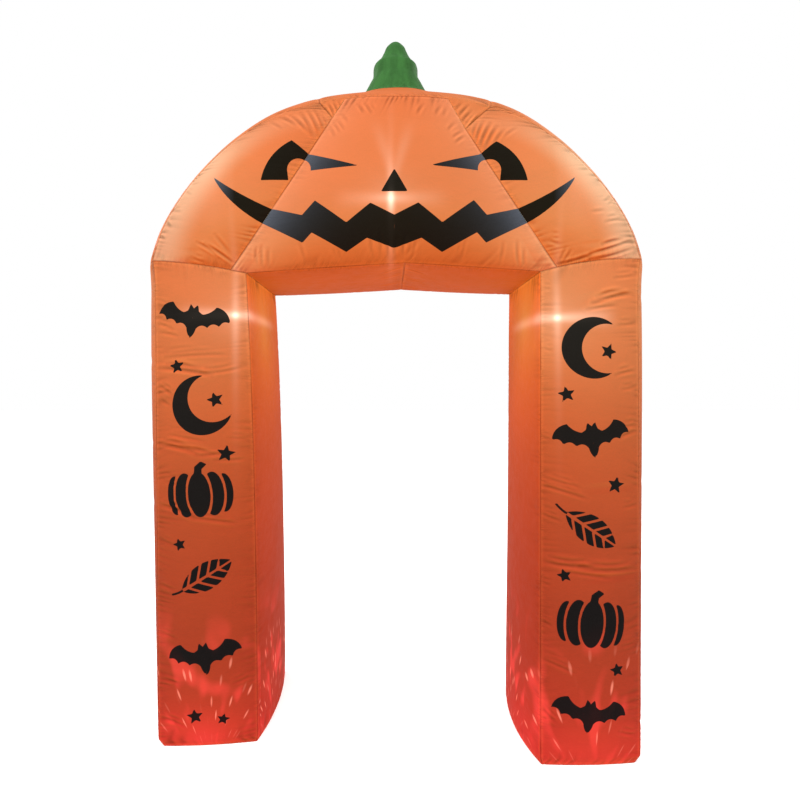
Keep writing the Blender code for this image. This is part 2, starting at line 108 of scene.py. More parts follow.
# -------- the head
# The head's outline, from the corner over a leg to the middle of the crown.
Rim = namedtuple("Rim", "x z")
OUTLINE = (
    Rim(0.8876, 1.794), Rim(0.8527, 1.9014), Rim(0.7909, 2.0105), Rim(0.7036, 2.1195),
    Rim(0.5873, 2.2270), Rim(0.4455, 2.3150), Rim(0.2800, 2.3650), Rim(0.1200, 2.3860),
    Rim(0.0000, 2.3890),
)
GORE_FOOT = 0.845        # where a gore seam starts on the waist seam, as a share from outside
GORE_BOW = Vector((0.013, 0.050, 0.008))     # its bow towards the middle, outward and down
CENTRE_BOW = 0.055       # how far the centre gore stands out of its seams ...
SIDE_BOW = 0.045         # ... and a side gore

# One row for the ears on each side: where their two seams leave the outline, the joint at which
# they meet the gore seam, and the bow of the seam over the crown beside them.
Ear = namedtuple("Ear", "outer inner joint_x joint_z crown_bow")
EARS = {LEFT.name: Ear(0.750, 0.820, -0.232, 2.301, 0.107),
        RIGHT.name: Ear(0.704, 0.820, 0.248, 2.261, 0.118)}
EAR_JOINT_BOW = 0.022    # how far the joint stands out of the outline's plane
EAR_JOINT_SHARE = 0.88   # where the joint lies on the centre gore's side
EAR_JOINT_FADE = 0.01    # over this share, the seam above it turns into one that hardly shows
GORE_CORNER = 0.1        # share of the centre gore's foot that a waist seam takes at each end
HILL = 0.031             # height of the cap's rise under the stem ...
HILL_RADIUS = 0.160      # ... and its reach
CAP_FADE = 0.02          # over this share of the cap's edge, its gathers start beyond an ear
SLOPE_STEP = 0.02        # the outline's slope is taken over this share on both sides

SOFFIT_MIDDLE = Vector((0.030, 0.0, 1.777))      # middle of the doorway's top
SOFFIT_MIDDLE_BOW = 0.030            # how far the top's two edges stand out there
SOFFIT_BOW = 0.018       # how far each half hangs

# -------- the stem
# The stem's rings, from its foot on the cap to its tip.
Ring = namedtuple("Ring", "radius z")
STEM = (
    Ring(0.1340, 2.5080), Ring(0.1185, 2.5380), Ring(0.1060, 2.5640), Ring(0.0940, 2.5880),
    Ring(0.0910, 2.6020), Ring(0.0905, 2.6270), Ring(0.0865, 2.6470), Ring(0.0780, 2.6575),
    Ring(0.0640, 2.6700), Ring(0.0500, 2.6940), Ring(0.0400, 2.7170), Ring(0.0310, 2.7290),
    Ring(0.0170, 2.7400), Ring(0.0, 2.7440),
)
STEM_LENGTH = 0.34       # rough height along its cloth, for counting its rows ...
STEM_ROW = 0.005         # ... which lie this far apart
STEM_FOOT_POWER = 4      # the higher, the sooner its rings stop following the cap's slope
STEM_SEAT = 0.0006       # clearance between its foot and the cap
STEM_EVEN_ROWS = 12      # its front is evened over so many rows each way; its outline isn't
STEM_EVEN_ENDS = (0.12, 0.10)        # it is evened less within these shares of its foot and tip
STEM_TIP_EASE = 0.02     # its relief fades this near the tip
FLUTE_DEPTH = 0.0028     # depth of its upright flutes ...
FLUTE_RADIUS = 0.09      # ... where it is at least this thick
FLUTE_RATE = 3.2         # how closely they stand
RAY_HEIGHT = 3.0         # the cap under its foot is felt for from this height

# -------- folds that the frame has too
# A soft fold across a leg: its share of the height, its depth on front and back and on the band.
Fold = namedtuple("Fold", "share front band")
LEG_FOLDS = {
    LEFT.name: (Fold(0.795, 0.007, 0.010), Fold(0.622, 0.005, 0.008), Fold(0.497, 0.008, 0.010)),
    RIGHT.name: (Fold(0.925, 0.009, 0.009), Fold(0.545, 0.005, 0.008), Fold(0.372, 0.008, 0.010)),
}
FOLD_REACH = 0.65        # folds run in from the outer seam over this share of the width
FOLD_HALF = 0.009        # half a fold's height, as a share of the leg's
GORE_FOLDS = {LEFT.name: (0.075, 0.62), RIGHT.name: (0.060, 0.110)}      # shares up a side gore
GORE_FOLD_HALF = 0.016
GORE_FOLD_DEPTH = 0.0020
FOLD_SPREAD = 1.5        # a soft fold is this much wider than the frame's
BAND_SHARE = 0.35        # and on an outer band this much of its depth

# -------- gathers and creases
SWELL = 0.0035           # how far a panel stands proud of its seams ...
SWELL_REACH = 0.010      # ... and how soon
EAR_SWELL = 0.8          # an ear has this share of it
CREASE_EASE = 0.006      # creases fade this near a panel's edge ...
EDGE_EASE = 0.004        # ... and all relief this near an edge whose seam has no gathers

# Gathers: short folds that run in from a seam, "pitch" apart, deepest "near" it.
Gather = namedtuple("Gather", "pitch depth near")
RIM_GATHER = Gather(0.024, 0.0038, 0.013)
EAR_GATHER = Gather(0.022, 0.0030, 0.018)
GORE_GATHER = Gather(0.028, 0.0011, 0.014)
CORNER_GATHER = Gather(0.026, 0.0024, 0.018)
INNER_GATHER = Gather(0.028, 0.0014, 0.018)
WAIST_GATHER = Gather(0.034, 0.0014, 0.012)
CROSS_GATHER = Gather(0.055, 0.0045, 0.020)
FOOT_GATHER = Gather(0.034, 0.0030, 0.014)
STEM_GATHER = Gather(0.022, 0.0014, 0.012)
EAR_GATHER_SHARE = 0.4   # the gathers inside an ear have this share of their depth
STEM_SIDE_SHARE = 0.7    # and those beside the stem's own seams this one

# Gathers lean to and fro and stand closer here and further apart there.
LEAN, LEAN_LENGTH = 0.35, 0.23
CROWD, CROWD_PITCHES = 1.1, 1.7
RIDGE_POWER = 1.6        # the higher, the narrower each gather
# Their depth and length differ along the seam, on a wave of so many pitches.
Uneven = namedtuple("Uneven", "mean swing low high pitches")
GATHER_DEPTHS = Uneven(0.52, 0.95, 0.04, 1.35, 1.6)
GATHER_LENGTHS = Uneven(1.0, 0.95, 0.4, 2.4, 0.9)

# A crease: from (a, b) to (c, d) in its panel's plane, "depth" deep and twice
# "half" wide, bent sideways by "bend"; "lines" of them lie side by side, each shallower.  The
# tables below hold one crease to a row.
Crease = namedtuple("Crease", "a b c d depth lines bend half", defaults=(1, 0.0, 0.0055))
CREASE_GAP = 2.6         # halves between two such lines
CREASE_LATER = 0.15      # every second line starts later by this share of the length,
CREASE_SHORTER = 0.22    # each is shorter than the last by this share
CREASE_FAINTER = 0.25    # and shallower by this one
CREASE_RISE = 0.60       # height of the ridge beside a crease, as a share of its depth ...
CREASE_RISE_AT = 1.9     # ... and its distance in halves
CREASE_ENDS = (0.05, 0.98)           # a crease tapers towards its ends, but not to nothing
TAPER_POWER = 0.7        # the lower, the later it tapers
SUN_WAY = (-0.36, -0.40, 0.84)       # the painted shade of the folds takes its light from this way
TURN_SHADE = 0.0072      # a fold that turns from that light is painted as dark as one this deep
LEG_CREASES = {
    LEFT.name: (
        (-0.868, 1.632, -0.815, 1.614, 0.0020, 2),
        (-0.866, 1.560, -0.800, 1.540, 0.0028, 2, 0.003),
        (-0.855, 1.528, -0.780, 1.512, 0.0022, 2, 0.003),
        (-0.836, 1.436, -0.598, 1.448, 0.0020, 3, 0.004),
        (-0.860, 1.398, -0.660, 1.372, 0.0042, 2, 0.006, 0.0065),
        (-0.700, 1.380, -0.560, 1.402, 0.0020, 2, -0.004),
        (-0.858, 1.335, -0.805, 1.300, 0.0028, 2, 0.002),
        (-0.856, 1.285, -0.815, 1.264, 0.0020, 1),
        (-0.820, 1.158, -0.680, 1.134, 0.0018, 3, 0.003),
        (-0.868, 1.124, -0.715, 1.094, 0.0042, 2, 0.005, 0.0065),
        (-0.775, 1.116, -0.655, 1.090, 0.0025, 1, 0.004),
        (-0.720, 1.086, -0.596, 1.098, 0.0022, 1, -0.004),
        (-0.655, 1.068, -0.552, 1.068, 0.0020, 2),
        (-0.610, 1.148, -0.540, 1.142, 0.0016, 2),
        (-0.842, 0.990, -0.745, 0.962, 0.0018, 3, 0.002),
        (-0.866, 0.902, -0.725, 0.858, 0.0042, 2, 0.007, 0.0065),
        (-0.745, 0.860, -0.585, 0.834, 0.0030, 2, 0.004),
        (-0.864, 0.776, -0.800, 0.756, 0.0018, 2),
        (-0.866, 0.610, -0.808, 0.594, 0.0019, 1),
        (-0.868, 0.430, -0.800, 0.412, 0.0020, 2, 0.003),
        (-0.866, 0.262, -0.790, 0.240, 0.0020, 1, 0.003),
        (-0.600, 0.240, -0.540, 0.258, 0.0018, 2),
        (-0.860, 0.110, -0.780, 0.082, 0.0025, 2, 0.003),
    ),
    RIGHT.name: (
        (0.700, 1.630, 0.850, 1.668, 0.0045, 2, 0.006, 0.0065),
        (0.680, 1.606, 0.790, 1.622, 0.0028, 2, 0.003),
        (0.780, 1.722, 0.866, 1.735, 0.0020, 2),
        (0.790, 1.552, 0.864, 1.560, 0.0020, 2),
        (0.530, 1.690, 0.560, 1.684, 0.0015, 2),
        (0.775, 1.372, 0.860, 1.390, 0.0032, 2, 0.004),
        (0.800, 1.322, 0.862, 1.332, 0.0020, 2),
        (0.530, 1.470, 0.562, 1.462, 0.0016, 3),
        (0.800, 1.190, 0.858, 1.196, 0.0022, 2),
        (0.790, 1.152, 0.860, 1.172, 0.0025, 1, 0.003),
        (0.516, 1.156, 0.552, 1.144, 0.0018, 2),
        (0.540, 1.000, 0.645, 0.978, 0.0020, 2, 0.002),
        (0.512, 0.982, 0.668, 0.938, 0.0030, 4, 0.003),
        (0.514, 0.880, 0.580, 0.858, 0.0025, 3),
        (0.800, 0.905, 0.858, 0.912, 0.0018, 2),
        (0.516, 0.712, 0.700, 0.704, 0.0037, 2, -0.005, 0.0065),
        (0.640, 0.700, 0.856, 0.690, 0.0032, 2, -0.006, 0.0065),
        (0.590, 0.682, 0.745, 0.660, 0.0022, 3, 0.003),
        (0.512, 0.640, 0.545, 0.630, 0.0018, 2),
        (0.512, 0.506, 0.552, 0.486, 0.0020, 3),
        (0.512, 0.370, 0.624, 0.330, 0.0022, 3, 0.003),
        (0.790, 0.420, 0.852, 0.428, 0.0018, 2),
        (0.510, 0.200, 0.560, 0.152, 0.0025, 2),
        (0.780, 0.120, 0.848, 0.100, 0.0020, 2),
    ),
}
# Creases across a side gore: fine bundles at its top, long folds from its two lower corners.
GORE_CREASES = {
    LEFT.name: (
        (-0.712, 1.848, -0.645, 1.806, 0.0022, 1, 0.002, 0.0045),
        (-0.682, 1.842, -0.590, 1.778, 0.0026, 1, 0.002, 0.0045),
        (-0.645, 1.872, -0.600, 1.812, 0.0012, 1),
        (-0.735, 1.795, -0.690, 1.778, 0.0012, 2),
        (-0.865, 1.885, -0.835, 1.862, 0.0026, 1),
        (-0.840, 1.935, -0.812, 1.905, 0.0024, 1),
        (-0.815, 1.972, -0.772, 1.958, 0.0020, 2),
        (-0.770, 2.045, -0.735, 2.018, 0.0016, 2),
        (-0.418, 2.300, -0.352, 2.256, 0.0030, 1, 0.003, 0.0060),
        (-0.382, 2.304, -0.306, 2.226, 0.0034, 1, 0.003, 0.0060),
        (-0.344, 2.316, -0.294, 2.214, 0.0026, 1, 0.003, 0.0065),
        (-0.318, 2.322, -0.276, 2.238, 0.0024, 1, 0.002, 0.0060),
        (-0.294, 2.326, -0.256, 2.246, 0.0028, 1, 0.002, 0.0060),
        (-0.276, 2.314, -0.242, 2.258, 0.0024, 1, 0.002),
        (-0.452, 2.280, -0.405, 2.244, 0.0018, 1, 0.002),
    ),
    RIGHT.name: (
        (0.580, 1.772, 0.705, 1.808, 0.0022, 1, -0.003),
        (0.695, 1.808, 0.862, 1.866, 0.0026, 1, -0.003, 0.0050),
        (0.700, 1.786, 0.868, 1.838, 0.0023, 1, -0.004, 0.0050),
        (0.735, 1.840, 0.812, 1.862, 0.0026, 1, 0.003),
        (0.745, 1.920, 0.812, 1.936, 0.0026, 2, 0.002),
        (0.690, 1.952, 0.745, 1.962, 0.0014, 1),
        (0.780, 2.020, 0.742, 1.995, 0.0018, 2),
        (0.585, 1.770, 0.604, 1.830, 0.0012, 1),
        (0.592, 1.766, 0.626, 1.824, 0.0012, 1),
        (0.545, 1.852, 0.580, 1.842, 0.0012, 3),
        (0.290, 2.280, 0.270, 2.205, 0.0022, 1, -0.003),
        (0.312, 2.284, 0.280, 2.196, 0.0028, 1, -0.003, 0.0060),
        (0.338, 2.276, 0.298, 2.186, 0.0030, 1, -0.003, 0.0060),
        (0.360, 2.262, 0.318, 2.182, 0.0026, 1, -0.003, 0.0060),
        (0.384, 2.246, 0.346, 2.192, 0.0018, 1, -0.002),
        (0.430, 2.256, 0.380, 2.216, 0.0014, 1, -0.002),
    ),
}
# Creases down the centre gore below the mouth and under its top seam.
CENTRE_CREASES = (
    (-0.085, 1.792, -0.092, 1.870, 0.0018, 1, 0.003),
    (-0.058, 1.792, -0.062, 1.880, 0.0018, 1, -0.002),
    (-0.030, 1.792, -0.028, 1.850, 0.0020, 1, 0.002),
    (-0.008, 1.792, -0.004, 1.860, 0.0018, 1, 0.002),
    (0.022, 1.792, 0.030, 1.868, 0.0020, 1, 0.003),
    (0.052, 1.790, 0.066, 1.850, 0.0014, 2, -0.002),
    (-0.200, 1.785, -0.212, 1.842, 0.0013, 2, 0.002),
    (-0.330, 1.775, -0.345, 1.840, 0.0014, 1, -0.002),
    (-0.462, 1.762, -0.458, 1.826, 0.0018, 1, 0.002),
    (-0.486, 1.762, -0.484, 1.834, 0.0020, 1, 0.002),
    (-0.504, 1.768, -0.502, 1.832, 0.0018, 1, 0.002),
    (0.230, 1.785, 0.244, 1.850, 0.0013, 2, 0.002),
    (0.372, 1.775, 0.378, 1.845, 0.0015, 1, -0.002),
    (0.442, 1.764, 0.430, 1.852, 0.0020, 1, 0.003),
    (0.462, 1.762, 0.456, 1.826, 0.0016, 1, 0.002),
    (-0.138, 2.350, -0.118, 2.310, 0.0024, 1, 0.002),
    (-0.113, 2.352, -0.088, 2.308, 0.0024, 1, 0.002),
    (-0.092, 2.350, -0.078, 2.322, 0.0016, 1),
    (0.098, 2.352, 0.074, 2.308, 0.0024, 1, -0.002),
    (0.160, 2.346, 0.140, 2.308, 0.0022, 1, -0.002),
    (0.182, 2.340, 0.168, 2.306, 0.0016, 1),
    (-0.228, 2.282, -0.200, 2.232, 0.0020, 1, 0.002),
    (-0.212, 2.284, -0.186, 2.242, 0.0020, 1, 0.002),
    (-0.234, 2.256, -0.218, 2.214, 0.0014, 1),
    (-0.196, 2.312, -0.172, 2.276, 0.0014, 1),
    (0.246, 2.228, 0.206, 2.192, 0.0018, 1, -0.002),
    (0.236, 2.246, 0.198, 2.214, 0.0020, 1, -0.002),
    (0.216, 2.286, 0.182, 2.244, 0.0018, 1, -0.002),
)
# Creases inside the cap's pointed ears: they fan out from the joint.
EAR_CREASES = (
    (-0.268, 2.352, -0.236, 2.300, 0.0026, 1, 0.001, 0.0042),
    (-0.248, 2.358, -0.222, 2.306, 0.0030, 1, 0.001, 0.0042),
    (-0.230, 2.364, -0.206, 2.318, 0.0028, 1, 0.001, 0.0042),
    (-0.212, 2.368, -0.192, 2.336, 0.0022, 1, 0.001, 0.0042),
    (0.322, 2.330, 0.256, 2.262, 0.0024, 1, -0.002, 0.0045),
    (0.302, 2.322, 0.252, 2.250, 0.0026, 1, -0.001, 0.0045),
    (0.262, 2.352, 0.220, 2.304, 0.0030, 1, -0.001, 0.0045),
    (0.272, 2.328, 0.232, 2.284, 0.0026, 1, -0.001, 0.0045),
    (0.238, 2.362, 0.210, 2.330, 0.0022, 1, -0.001, 0.0045),
)
# Creases of the doorway's top run out from its middle seam: x, then y.
SOFFIT_CREASES = (
    (0.030, -0.300, -0.060, -0.200, 0.0026, 2, 0.005, 0.0075),
    (0.030, -0.150, -0.080, -0.080, 0.0026, 2, -0.005, 0.0075),
    (0.030, 0.080, -0.070, 0.120, 0.0026, 1, 0.005, 0.0075),
    (0.030, -0.260, 0.110, -0.190, 0.0026, 1, -0.005, 0.0075),
    (0.030, -0.050, 0.120, 0.010, 0.0026, 2, 0.005, 0.0075),
    (0.030, 0.200, 0.110, 0.240, 0.0026, 1, -0.005, 0.0075),
)

# Thin wrinkles beside the seams, and the stitches.
SEAM_HIDDEN = 0.006      # added to a seam's distance where the cloth's folds hide it ...
HIDDEN_RATE = 0.0032     # ... in dashes: the larger, the longer
WRINKLE_PITCH = 0.012    # distance between thin wrinkles ...
WRINKLE_LENGTH = 0.070   # ... their length ...
WRINKLE_REACH = 0.024    # ... and how far in from the seam they fade
WRINKLE_BUNDLES = (0.16, 0.9, 3.1)   # how much coarser or finer their bundles are
BUNDLE_PICK = (0.40, 0.62, 0.15, 1.0)            # between bundles this share of them is left
WRINKLE_EDGE = 0.085     # the lower, the thinner each of them
WRINKLE_SEEDS = (3.7, 8.2)           # beside a panel's sides and its ends
STITCH_LINE = 0.0055     # distance of the stitches from their seam
STITCH_PITCH = 0.0045    # length of a stitch with its gap
STITCH_EDGE = (0.0004, 0.0011)       # half its width, and where it is gone
STITCH_ENDS = (0.02, 0.12), (0.62, 0.74, 1.0, 0.0)   # shares of the pitch: its start, its end

# -------- how finely panels are cut
FINE_EDGE = 0.060        # columns are close together within this distance of a seam
MIDDLE_STEP = 0.017      # and this far apart in the middle of a plain panel
FAR = 1.0                # distance from a seam that isn't there

# The panels' rough sizes along the cloth, from which rows and columns are counted, and the
# spacing of those that differ from the settings' spacing, as shares of it.
SIDE_GORE_SIZE = (0.42, 0.84)
CENTRE_GORE_SIZE = (0.92, 0.62)
HAUNCH_SIZE = (2 * HALF_DEPTH + 0.04, 0.84)
CAP_SIZE = (1.0, 2 * HALF_DEPTH + 0.06)
SOFFIT_SIZE = (0.53, 2 * HALF_DEPTH + 0.05)
LEG_ROWS = {"front": 0.72, "back": 1.0, "outer": 1.15, "inner": 1.15}
LEG_EDGE_COLUMNS = 0.9
HAUNCH_EDGE_COLUMNS, HAUNCH_ROWS = 0.8, 0.9
BASE_POINTS = 40         # points along each edge of a base

# Seeds of the panels' gathers, so that no two are alike: left and right, and for the gores left,
# right and centre.
LEG_SEEDS = {"front": (100, 200), "back": (117, 217), "outer": (134, 234), "inner": (151, 251)}
GORE_SEEDS = {FRONT: (300, 331, 370), BACK: (400, 431, 470)}
HAUNCH_SEEDS = (510, 550)
CAP_SEED, STEM_SEED = 600, 700
SOFFIT_SEEDS = (800, 840)
HIDDEN_SEED = 91

# -------- the print
FACE_X = -0.009          # middle of the face, from which both halves are drawn
Point = namedtuple("Point", "x z")
# An eye's corners in order, from the outer one over the brow to the inner tip and back.
EYE_FOOT = Point(0.4690, 2.0560)
EYE_TOP = Point(0.363, 2.203)
EYE_SWELL = 0.020        # bow of the edge between those two
EYE_BROW = Point(0.300, 2.156)
EYE_TIP = Point(0.1245, 2.0995)
EYE_UNDER = Point(0.2935, 2.0917)
EYE_BITE = Point(0.336, 2.0970)      # middle of the arched bite out of its lower edge
EYE_BITE_RADIUS = 0.0425
EYE_HEEL = Point(0.3750, 2.0625)
NOSE = ((0.0, 2.085), (0.046, 2.0065), (-0.046, 2.0065))
MOUTH_UPPER = ((0.434, 1.962), (0.324, 1.935), (0.277, 1.983), (0.1675, 1.907), (0.083, 1.970),
               (0.0, 1.9305))
MOUTH_LOWER = ((0.4686, 1.912), (0.325, 1.843), (0.291, 1.876), (0.170, 1.812), (0.096, 1.857),
               (0.0, 1.8245))
MOUTH_TIP = (0.643, 2.077)
MOUTH_HORN_SAG = (0.010, 0.019)      # how far a horn's upper and lower edges sag

# A motif printed on a leg: its kind, place, width and turn in degrees.
Motif = namedtuple("Motif", "kind x z size turn")
LEG_PRINTS = {
    LEFT.name: (
        Motif("bat", -0.732, 1.572, 0.262, -8),
        Motif("star", -0.790, 1.405, 0.062, 12),
        Motif("moon", -0.700, 1.265, 0.215, 18),
        Motif("star", -0.618, 1.090, 0.070, -10),
        Motif("pumpkin", -0.712, 0.955, 0.235, 4),
        Motif("star", -0.785, 0.760, 0.056, 20),
        Motif("leaf", -0.690, 0.645, 0.245, 32),
        Motif("bat", -0.700, 0.345, 0.265, 7),
        Motif("star", -0.740, 0.120, 0.066, 8),
        Motif("star", -0.640, 0.105, 0.052, -14),
    ),
    RIGHT.name: (
        Motif("moon", 0.700, 1.470, 0.220, -20),
        Motif("star", 0.604, 1.305, 0.064, 10),
        Motif("bat", 0.690, 1.150, 0.272, 6),
        Motif("star", 0.772, 0.985, 0.070, -12),
        Motif("leaf", 0.682, 0.830, 0.245, -34),
        Motif("star", 0.590, 0.668, 0.056, 16),
        Motif("pumpkin", 0.682, 0.515, 0.235, -5),
        Motif("bat", 0.672, 0.185, 0.262, -7),
        Motif("star", 0.770, 0.340, 0.058, 9),
    ),
}
STAR_POINTS = 5          # tips of a star
STAR_WAIST = 0.42        # a star's inner radius as a share of its outer one
PUMPKIN_LINE = 0.030     # width of the bare lines between a pumpkin's lobes
NO_PRINT = -1.0          # depth inside the print where there is none
PRINT_EDGE = 0.0005      # the ink's edge blurs over this distance
SHEEN_REACH = 0.085      # painted sheen on the ink and the cloth reaches this far in from the gore seams,
HORN_SHEEN_X = (0.56, 0.08)          # and beyond this distance from the middle and above this
HORN_SHEEN_Z = (1.88, 0.20)          # height, growing over the distance that follows
BACK_SHEEN = 0.5         # share of that painted sheen on the plain back
LEG_SHEEN = 0.04         # and how much painted sheen the legs' ink and cloth get
RIM_GLOW_FROM = 0.165    # the side gores get painted pale light this near their rims ...
RIM_GLOW_FADE = 0.125    # ... over this distance, and less high up
RIM_GLOW_BY_HEIGHT = ((1.78, 1.90, 2.15, 2.24, 2.31), (0.80, 1.0, 1.0, 0.50, 0.10))

# -------- the lamps inside: their light is painted on the cloth, and the lamps themselves are not built
Lamp = namedtuple("Lamp", "x y z soft power")
WARM_LAMPS = (
    Lamp(-0.60, -0.08, 1.57, 0.35, 0.36), Lamp(0.59, -0.10, 1.57, 0.36, 0.56),
    Lamp(-0.48, -0.10, 1.50, 0.25, 0.20), Lamp(0.50, -0.28, 1.48, 0.15, 0.15),
    Lamp(-0.01, -0.06, 2.04, 0.30, 0.44), Lamp(-0.01, -0.28, 1.84, 0.08, 0.50),
    Lamp(-0.63, -0.15, 2.07, 0.20, 0.72), Lamp(0.62, -0.15, 2.09, 0.20, 0.80),
    Lamp(-0.55, 0.20, 2.05, 0.25, 0.42), Lamp(0.55, 0.20, 2.05, 0.25, 0.42),
    Lamp(-0.25, -0.27, 2.32, 0.06, 0.24), Lamp(0.26, -0.27, 2.31, 0.06, 0.30),
)
RED_LAMPS = (Lamp(-0.72, -0.22, 0.03, 0.12, 1.15), Lamp(0.66, -0.26, 0.0, 0.16, 1.15))
RED_HEIGHT = 0.35        # height over which the red lamps' light fades
LAMP_SIDEWAYS = 0.45     # share of a lamp's light that gets through cloth seen edge-on from it
UNDERSIDE = (0.2, 0.5)   # cloth faces down from this slope on, fully so after so much more ...
UNDERSIDE_LOSS = 0.70    # ... and then its painted lamp light is darker by this share

# The lamps' light seen through the cloth, painted as its glow.  Red levels off as the light grows:
# its share and how soon.  Green and blue grow with the warm light and with its square, and lose a
# share in the doorway, where the cloth opposite is painted as tinting them.
WARM_RED, RED_RED = (0.34, 2.4), (0.66, 1.8)
WARM_GREEN, WARM_BLUE = (0.32, 0.10), (0.06, 0.15)
RED_GREEN, RED_BLUE = 0.004, 0.03
DOORWAY_GREEN_LOSS, DOORWAY_BLUE_LOSS = 0.44, 0.85
DOORWAY_RED = (0.04, 0.18)           # painted red light that the doorway adds, plain and by its warm light
DOWN_LIGHT = (0.08, 0.025)           # painted red and green light on cloth that faces down ...
TOP_LIGHT = (0.19, 0.025)            # ... and at the top of the inner panels,
TOP_HEIGHT = (1.54, 0.18)            # growing from this height over so much more

PROJECTOR = (0.69, -0.06, -0.12)     # painted flecks of red light are thrown from here up the inside of each leg
PROJECTOR_SPREAD = 0.20              # evens out how fast its flecks grow on near cloth
SIDE_SHIFT, LEG_SHIFT = 7.0, 31.0    # keep a leg's sides and the two legs from looking alike
FLECK_CELLS = (10.0, 2.5, 0.0)       # how many flecks there are round it and up from it
FLECK_SIZE = (0.05, 0.19)            # a fleck's edge, as shares of its cell
FLECK_PICK = (0.25, 0.60)            # cells with less than this stay dark
FLECK_HEIGHT, FLECK_FOOT = (0.26, 0.46, 1.0, 0.0), (0.03, 0.12, 0.2, 1.0)
PATCH_CELLS = (3.6, 2.1, 0.0)        # the same for the soft patches
PATCH_PICK = (0.51, 0.68)
PATCH_HEIGHT, PATCH_FOOT = (0.28, 0.58, 1.0, 0.0), (0.0, 0.20, 0.35, 1.0)

# A lamp's bright spot through the cloth, a painted glint with the soft cross that the weave gives
# it: its place, how far its arms reach across and up, how tall its heart is, and how bright its
# level arms and the whole are.
Glint = namedtuple("Glint", "x z across up tall level strength")
GLINTS = (
    Glint(-0.583, 1.590, 0.190, 0.140, 1.0, 0.9, 0.52),
    Glint(0.577, 1.579, 0.190, 0.140, 1.0, 0.9, 0.52),
    Glint(-0.021, 1.984, 0.110, 0.120, 3.2, 0.45, 0.56),
)
GLINT_THIN = 0.013       # width of its arms at the heart
GLINT_OPENS = 0.10       # how fast its level arms widen outward
GLINT_ENDS = (0.14, 0.23)            # and between which distances they end
GLINT_HEART, HEART_LIGHT = 0.0105, 1.1           # radius and brightness of its heart
HALO_REACH, HALO_LIGHT = 0.045, 0.36             # and of the halo round it
UPRIGHT_LIGHT = 0.50     # brightness of its upright arms
# Depths at which the painted bright spots fade, so that they stay on the front and the inner
# panels.
GLINT_FRONT, GLINT_INSIDE = (-0.33, -0.22, 1.0, 0.5), (-0.12, 0.26, 1.0, 0.0)
BEAM_FRONT = (-0.31, -0.10, 1.0, 0.0)
# Two painted stripes of pale lamp light from the nose upward: "up" is their height, "tall" how fast
# they part.
NOSE_BEAM = Glint(-0.012, 2.040, 0.014, 0.27, 0.26, 0.0, 0.065)
BEAM_OPENS = 0.05        # how fast each widens
BEAM_FADE = 0.4          # it fades from this share of its height
BEAM_START = 0.02        # and starts over this distance on both sides of its foot

# -------- colours of the finish, and of its painted light and shade
SEAM_TINT, SEAM_DEPTH = (0.13, 0.010, 0.002, 1), 0.36
STITCH_TINT, STITCH_DEPTH = (0.50, 0.14, 0.04, 1), 0.45
STEM_STITCH_TINT, STEM_STITCH_DEPTH = (0.10, 0.24, 0.10, 1), 0.5
STEM_DARK = 0.72         # the stem's darker streaks, as a share of its green ...
STEM_STREAKS = (26.0, 26.0, 5.0)     # ... and how many there are to a metre
FOOT_TONE = (0.1, 2.1)   # heights between which the feet's deeper tone fades
MOTTLE_CLOUDS = (3.0, 3.0, 4.5)      # patches of paler and deeper cloth to a metre ...
MOTTLE = (0.3, 0.7, 0.94, 1.04)      # ... and their shades
SEAM_CLOUDS = (0.40, 0.58, 0.35, 1.15)           # a seam's line is faint here and strong there
SLACK_CLOUDS = (9.0, 9.0, 17.0)      # hollows of the cloth's small slack to a metre
STITCH_HEIGHT = -3.0     # a stitch's height beside the weave's: it lies deeper
# Strength and height in metres of the bump of the slack, the thin wrinkles and the weave.
BUMPS = ((0.35, 0.020), (0.80, 0.0024), (0.10, 0.0003))
# Roughness of the cloth: its clouds to a metre, the smoothest and the roughest.
ORANGE_ROUGHNESS, GREEN_ROUGHNESS = (30.0, 0.70, 0.80), (40.0, 0.66, 0.76)
SEAM_WIDTH = 0.0045      # a seam's dark line fades over this distance
CREASE_SHADES = (-0.0045, 0.0045, 1.36, 0.60)    # a ridge's height, a trough's depth, and their painted shades, lighter and darker
LIP_SHADE = 0.10         # cloth beside a seam is painted lighter by this share, a painted highlight ...
LIP_NEAR, LIP_FAR = (0.004, 0.007), (0.009, 0.018)           # ... between these distances
WRINKLE_SHADE = 0.16     # a thin wrinkle is painted darker by this share, as painted shade
INK_STOPS = 0.97         # share of the lamps' light that the ink stops
# Colours of the painted light through the cloth.
SPOT_LIGHT = (1.0, 0.80, 0.66)
BEAM_LIGHT = (0.80, 1.0, 0.85)
SHEEN_LIGHT = (0.10, 0.066, 0.054)
FLECK_LIGHT = (0.50, 0.200, 0.140)
RIM_LIGHT = (0.07, 0.200, 0.160)
PATCH_LIGHT = (0.36, 0.018, 0.022)

# -------- the stage
LIGHT_AIM = (0, 0, 1.3)  # the soft lights point here
# A soft light: its place, its width, and its share of the power that one of the settings gives.
SoftLight = namedtuple("SoftLight", "name place width setting share")
SOFT_LIGHTS = (
    SoftLight("front_left", (-2.7, -2.7, 4.0), 1.2, "front_light", 1.0),
    SoftLight("front_right", (3.0, -2.5, 3.4), 1.6, "front_light", 0.55),
    SoftLight("overhead", (0, -1.9, 5.2), 2.0, "top_light", 1.0),
    SoftLight("back_left", (-2.9, 2.6, 3.4), 1.6, "back_light", 1.0),
    SoftLight("back_right", (2.9, 2.6, 3.8), 1.6, "back_light", 1.0),
)
FLOOR_DROP = 0.0005      # the floor lies this far under the bases
FLOOR_GRAIN = 0.985      # its darker grain, as a share of its colour
FLOOR_LIGHT = 0.20       # and its own faint light, which keeps it white

# -------- the camera
EYE_PLACE = (-0.031, -2.87, 1.345)
EYE_TURN = (math.radians(90), 0, 0)
LENS, SENSOR = 31.41, 36.0
SHIFT = (0.015, -0.02125)


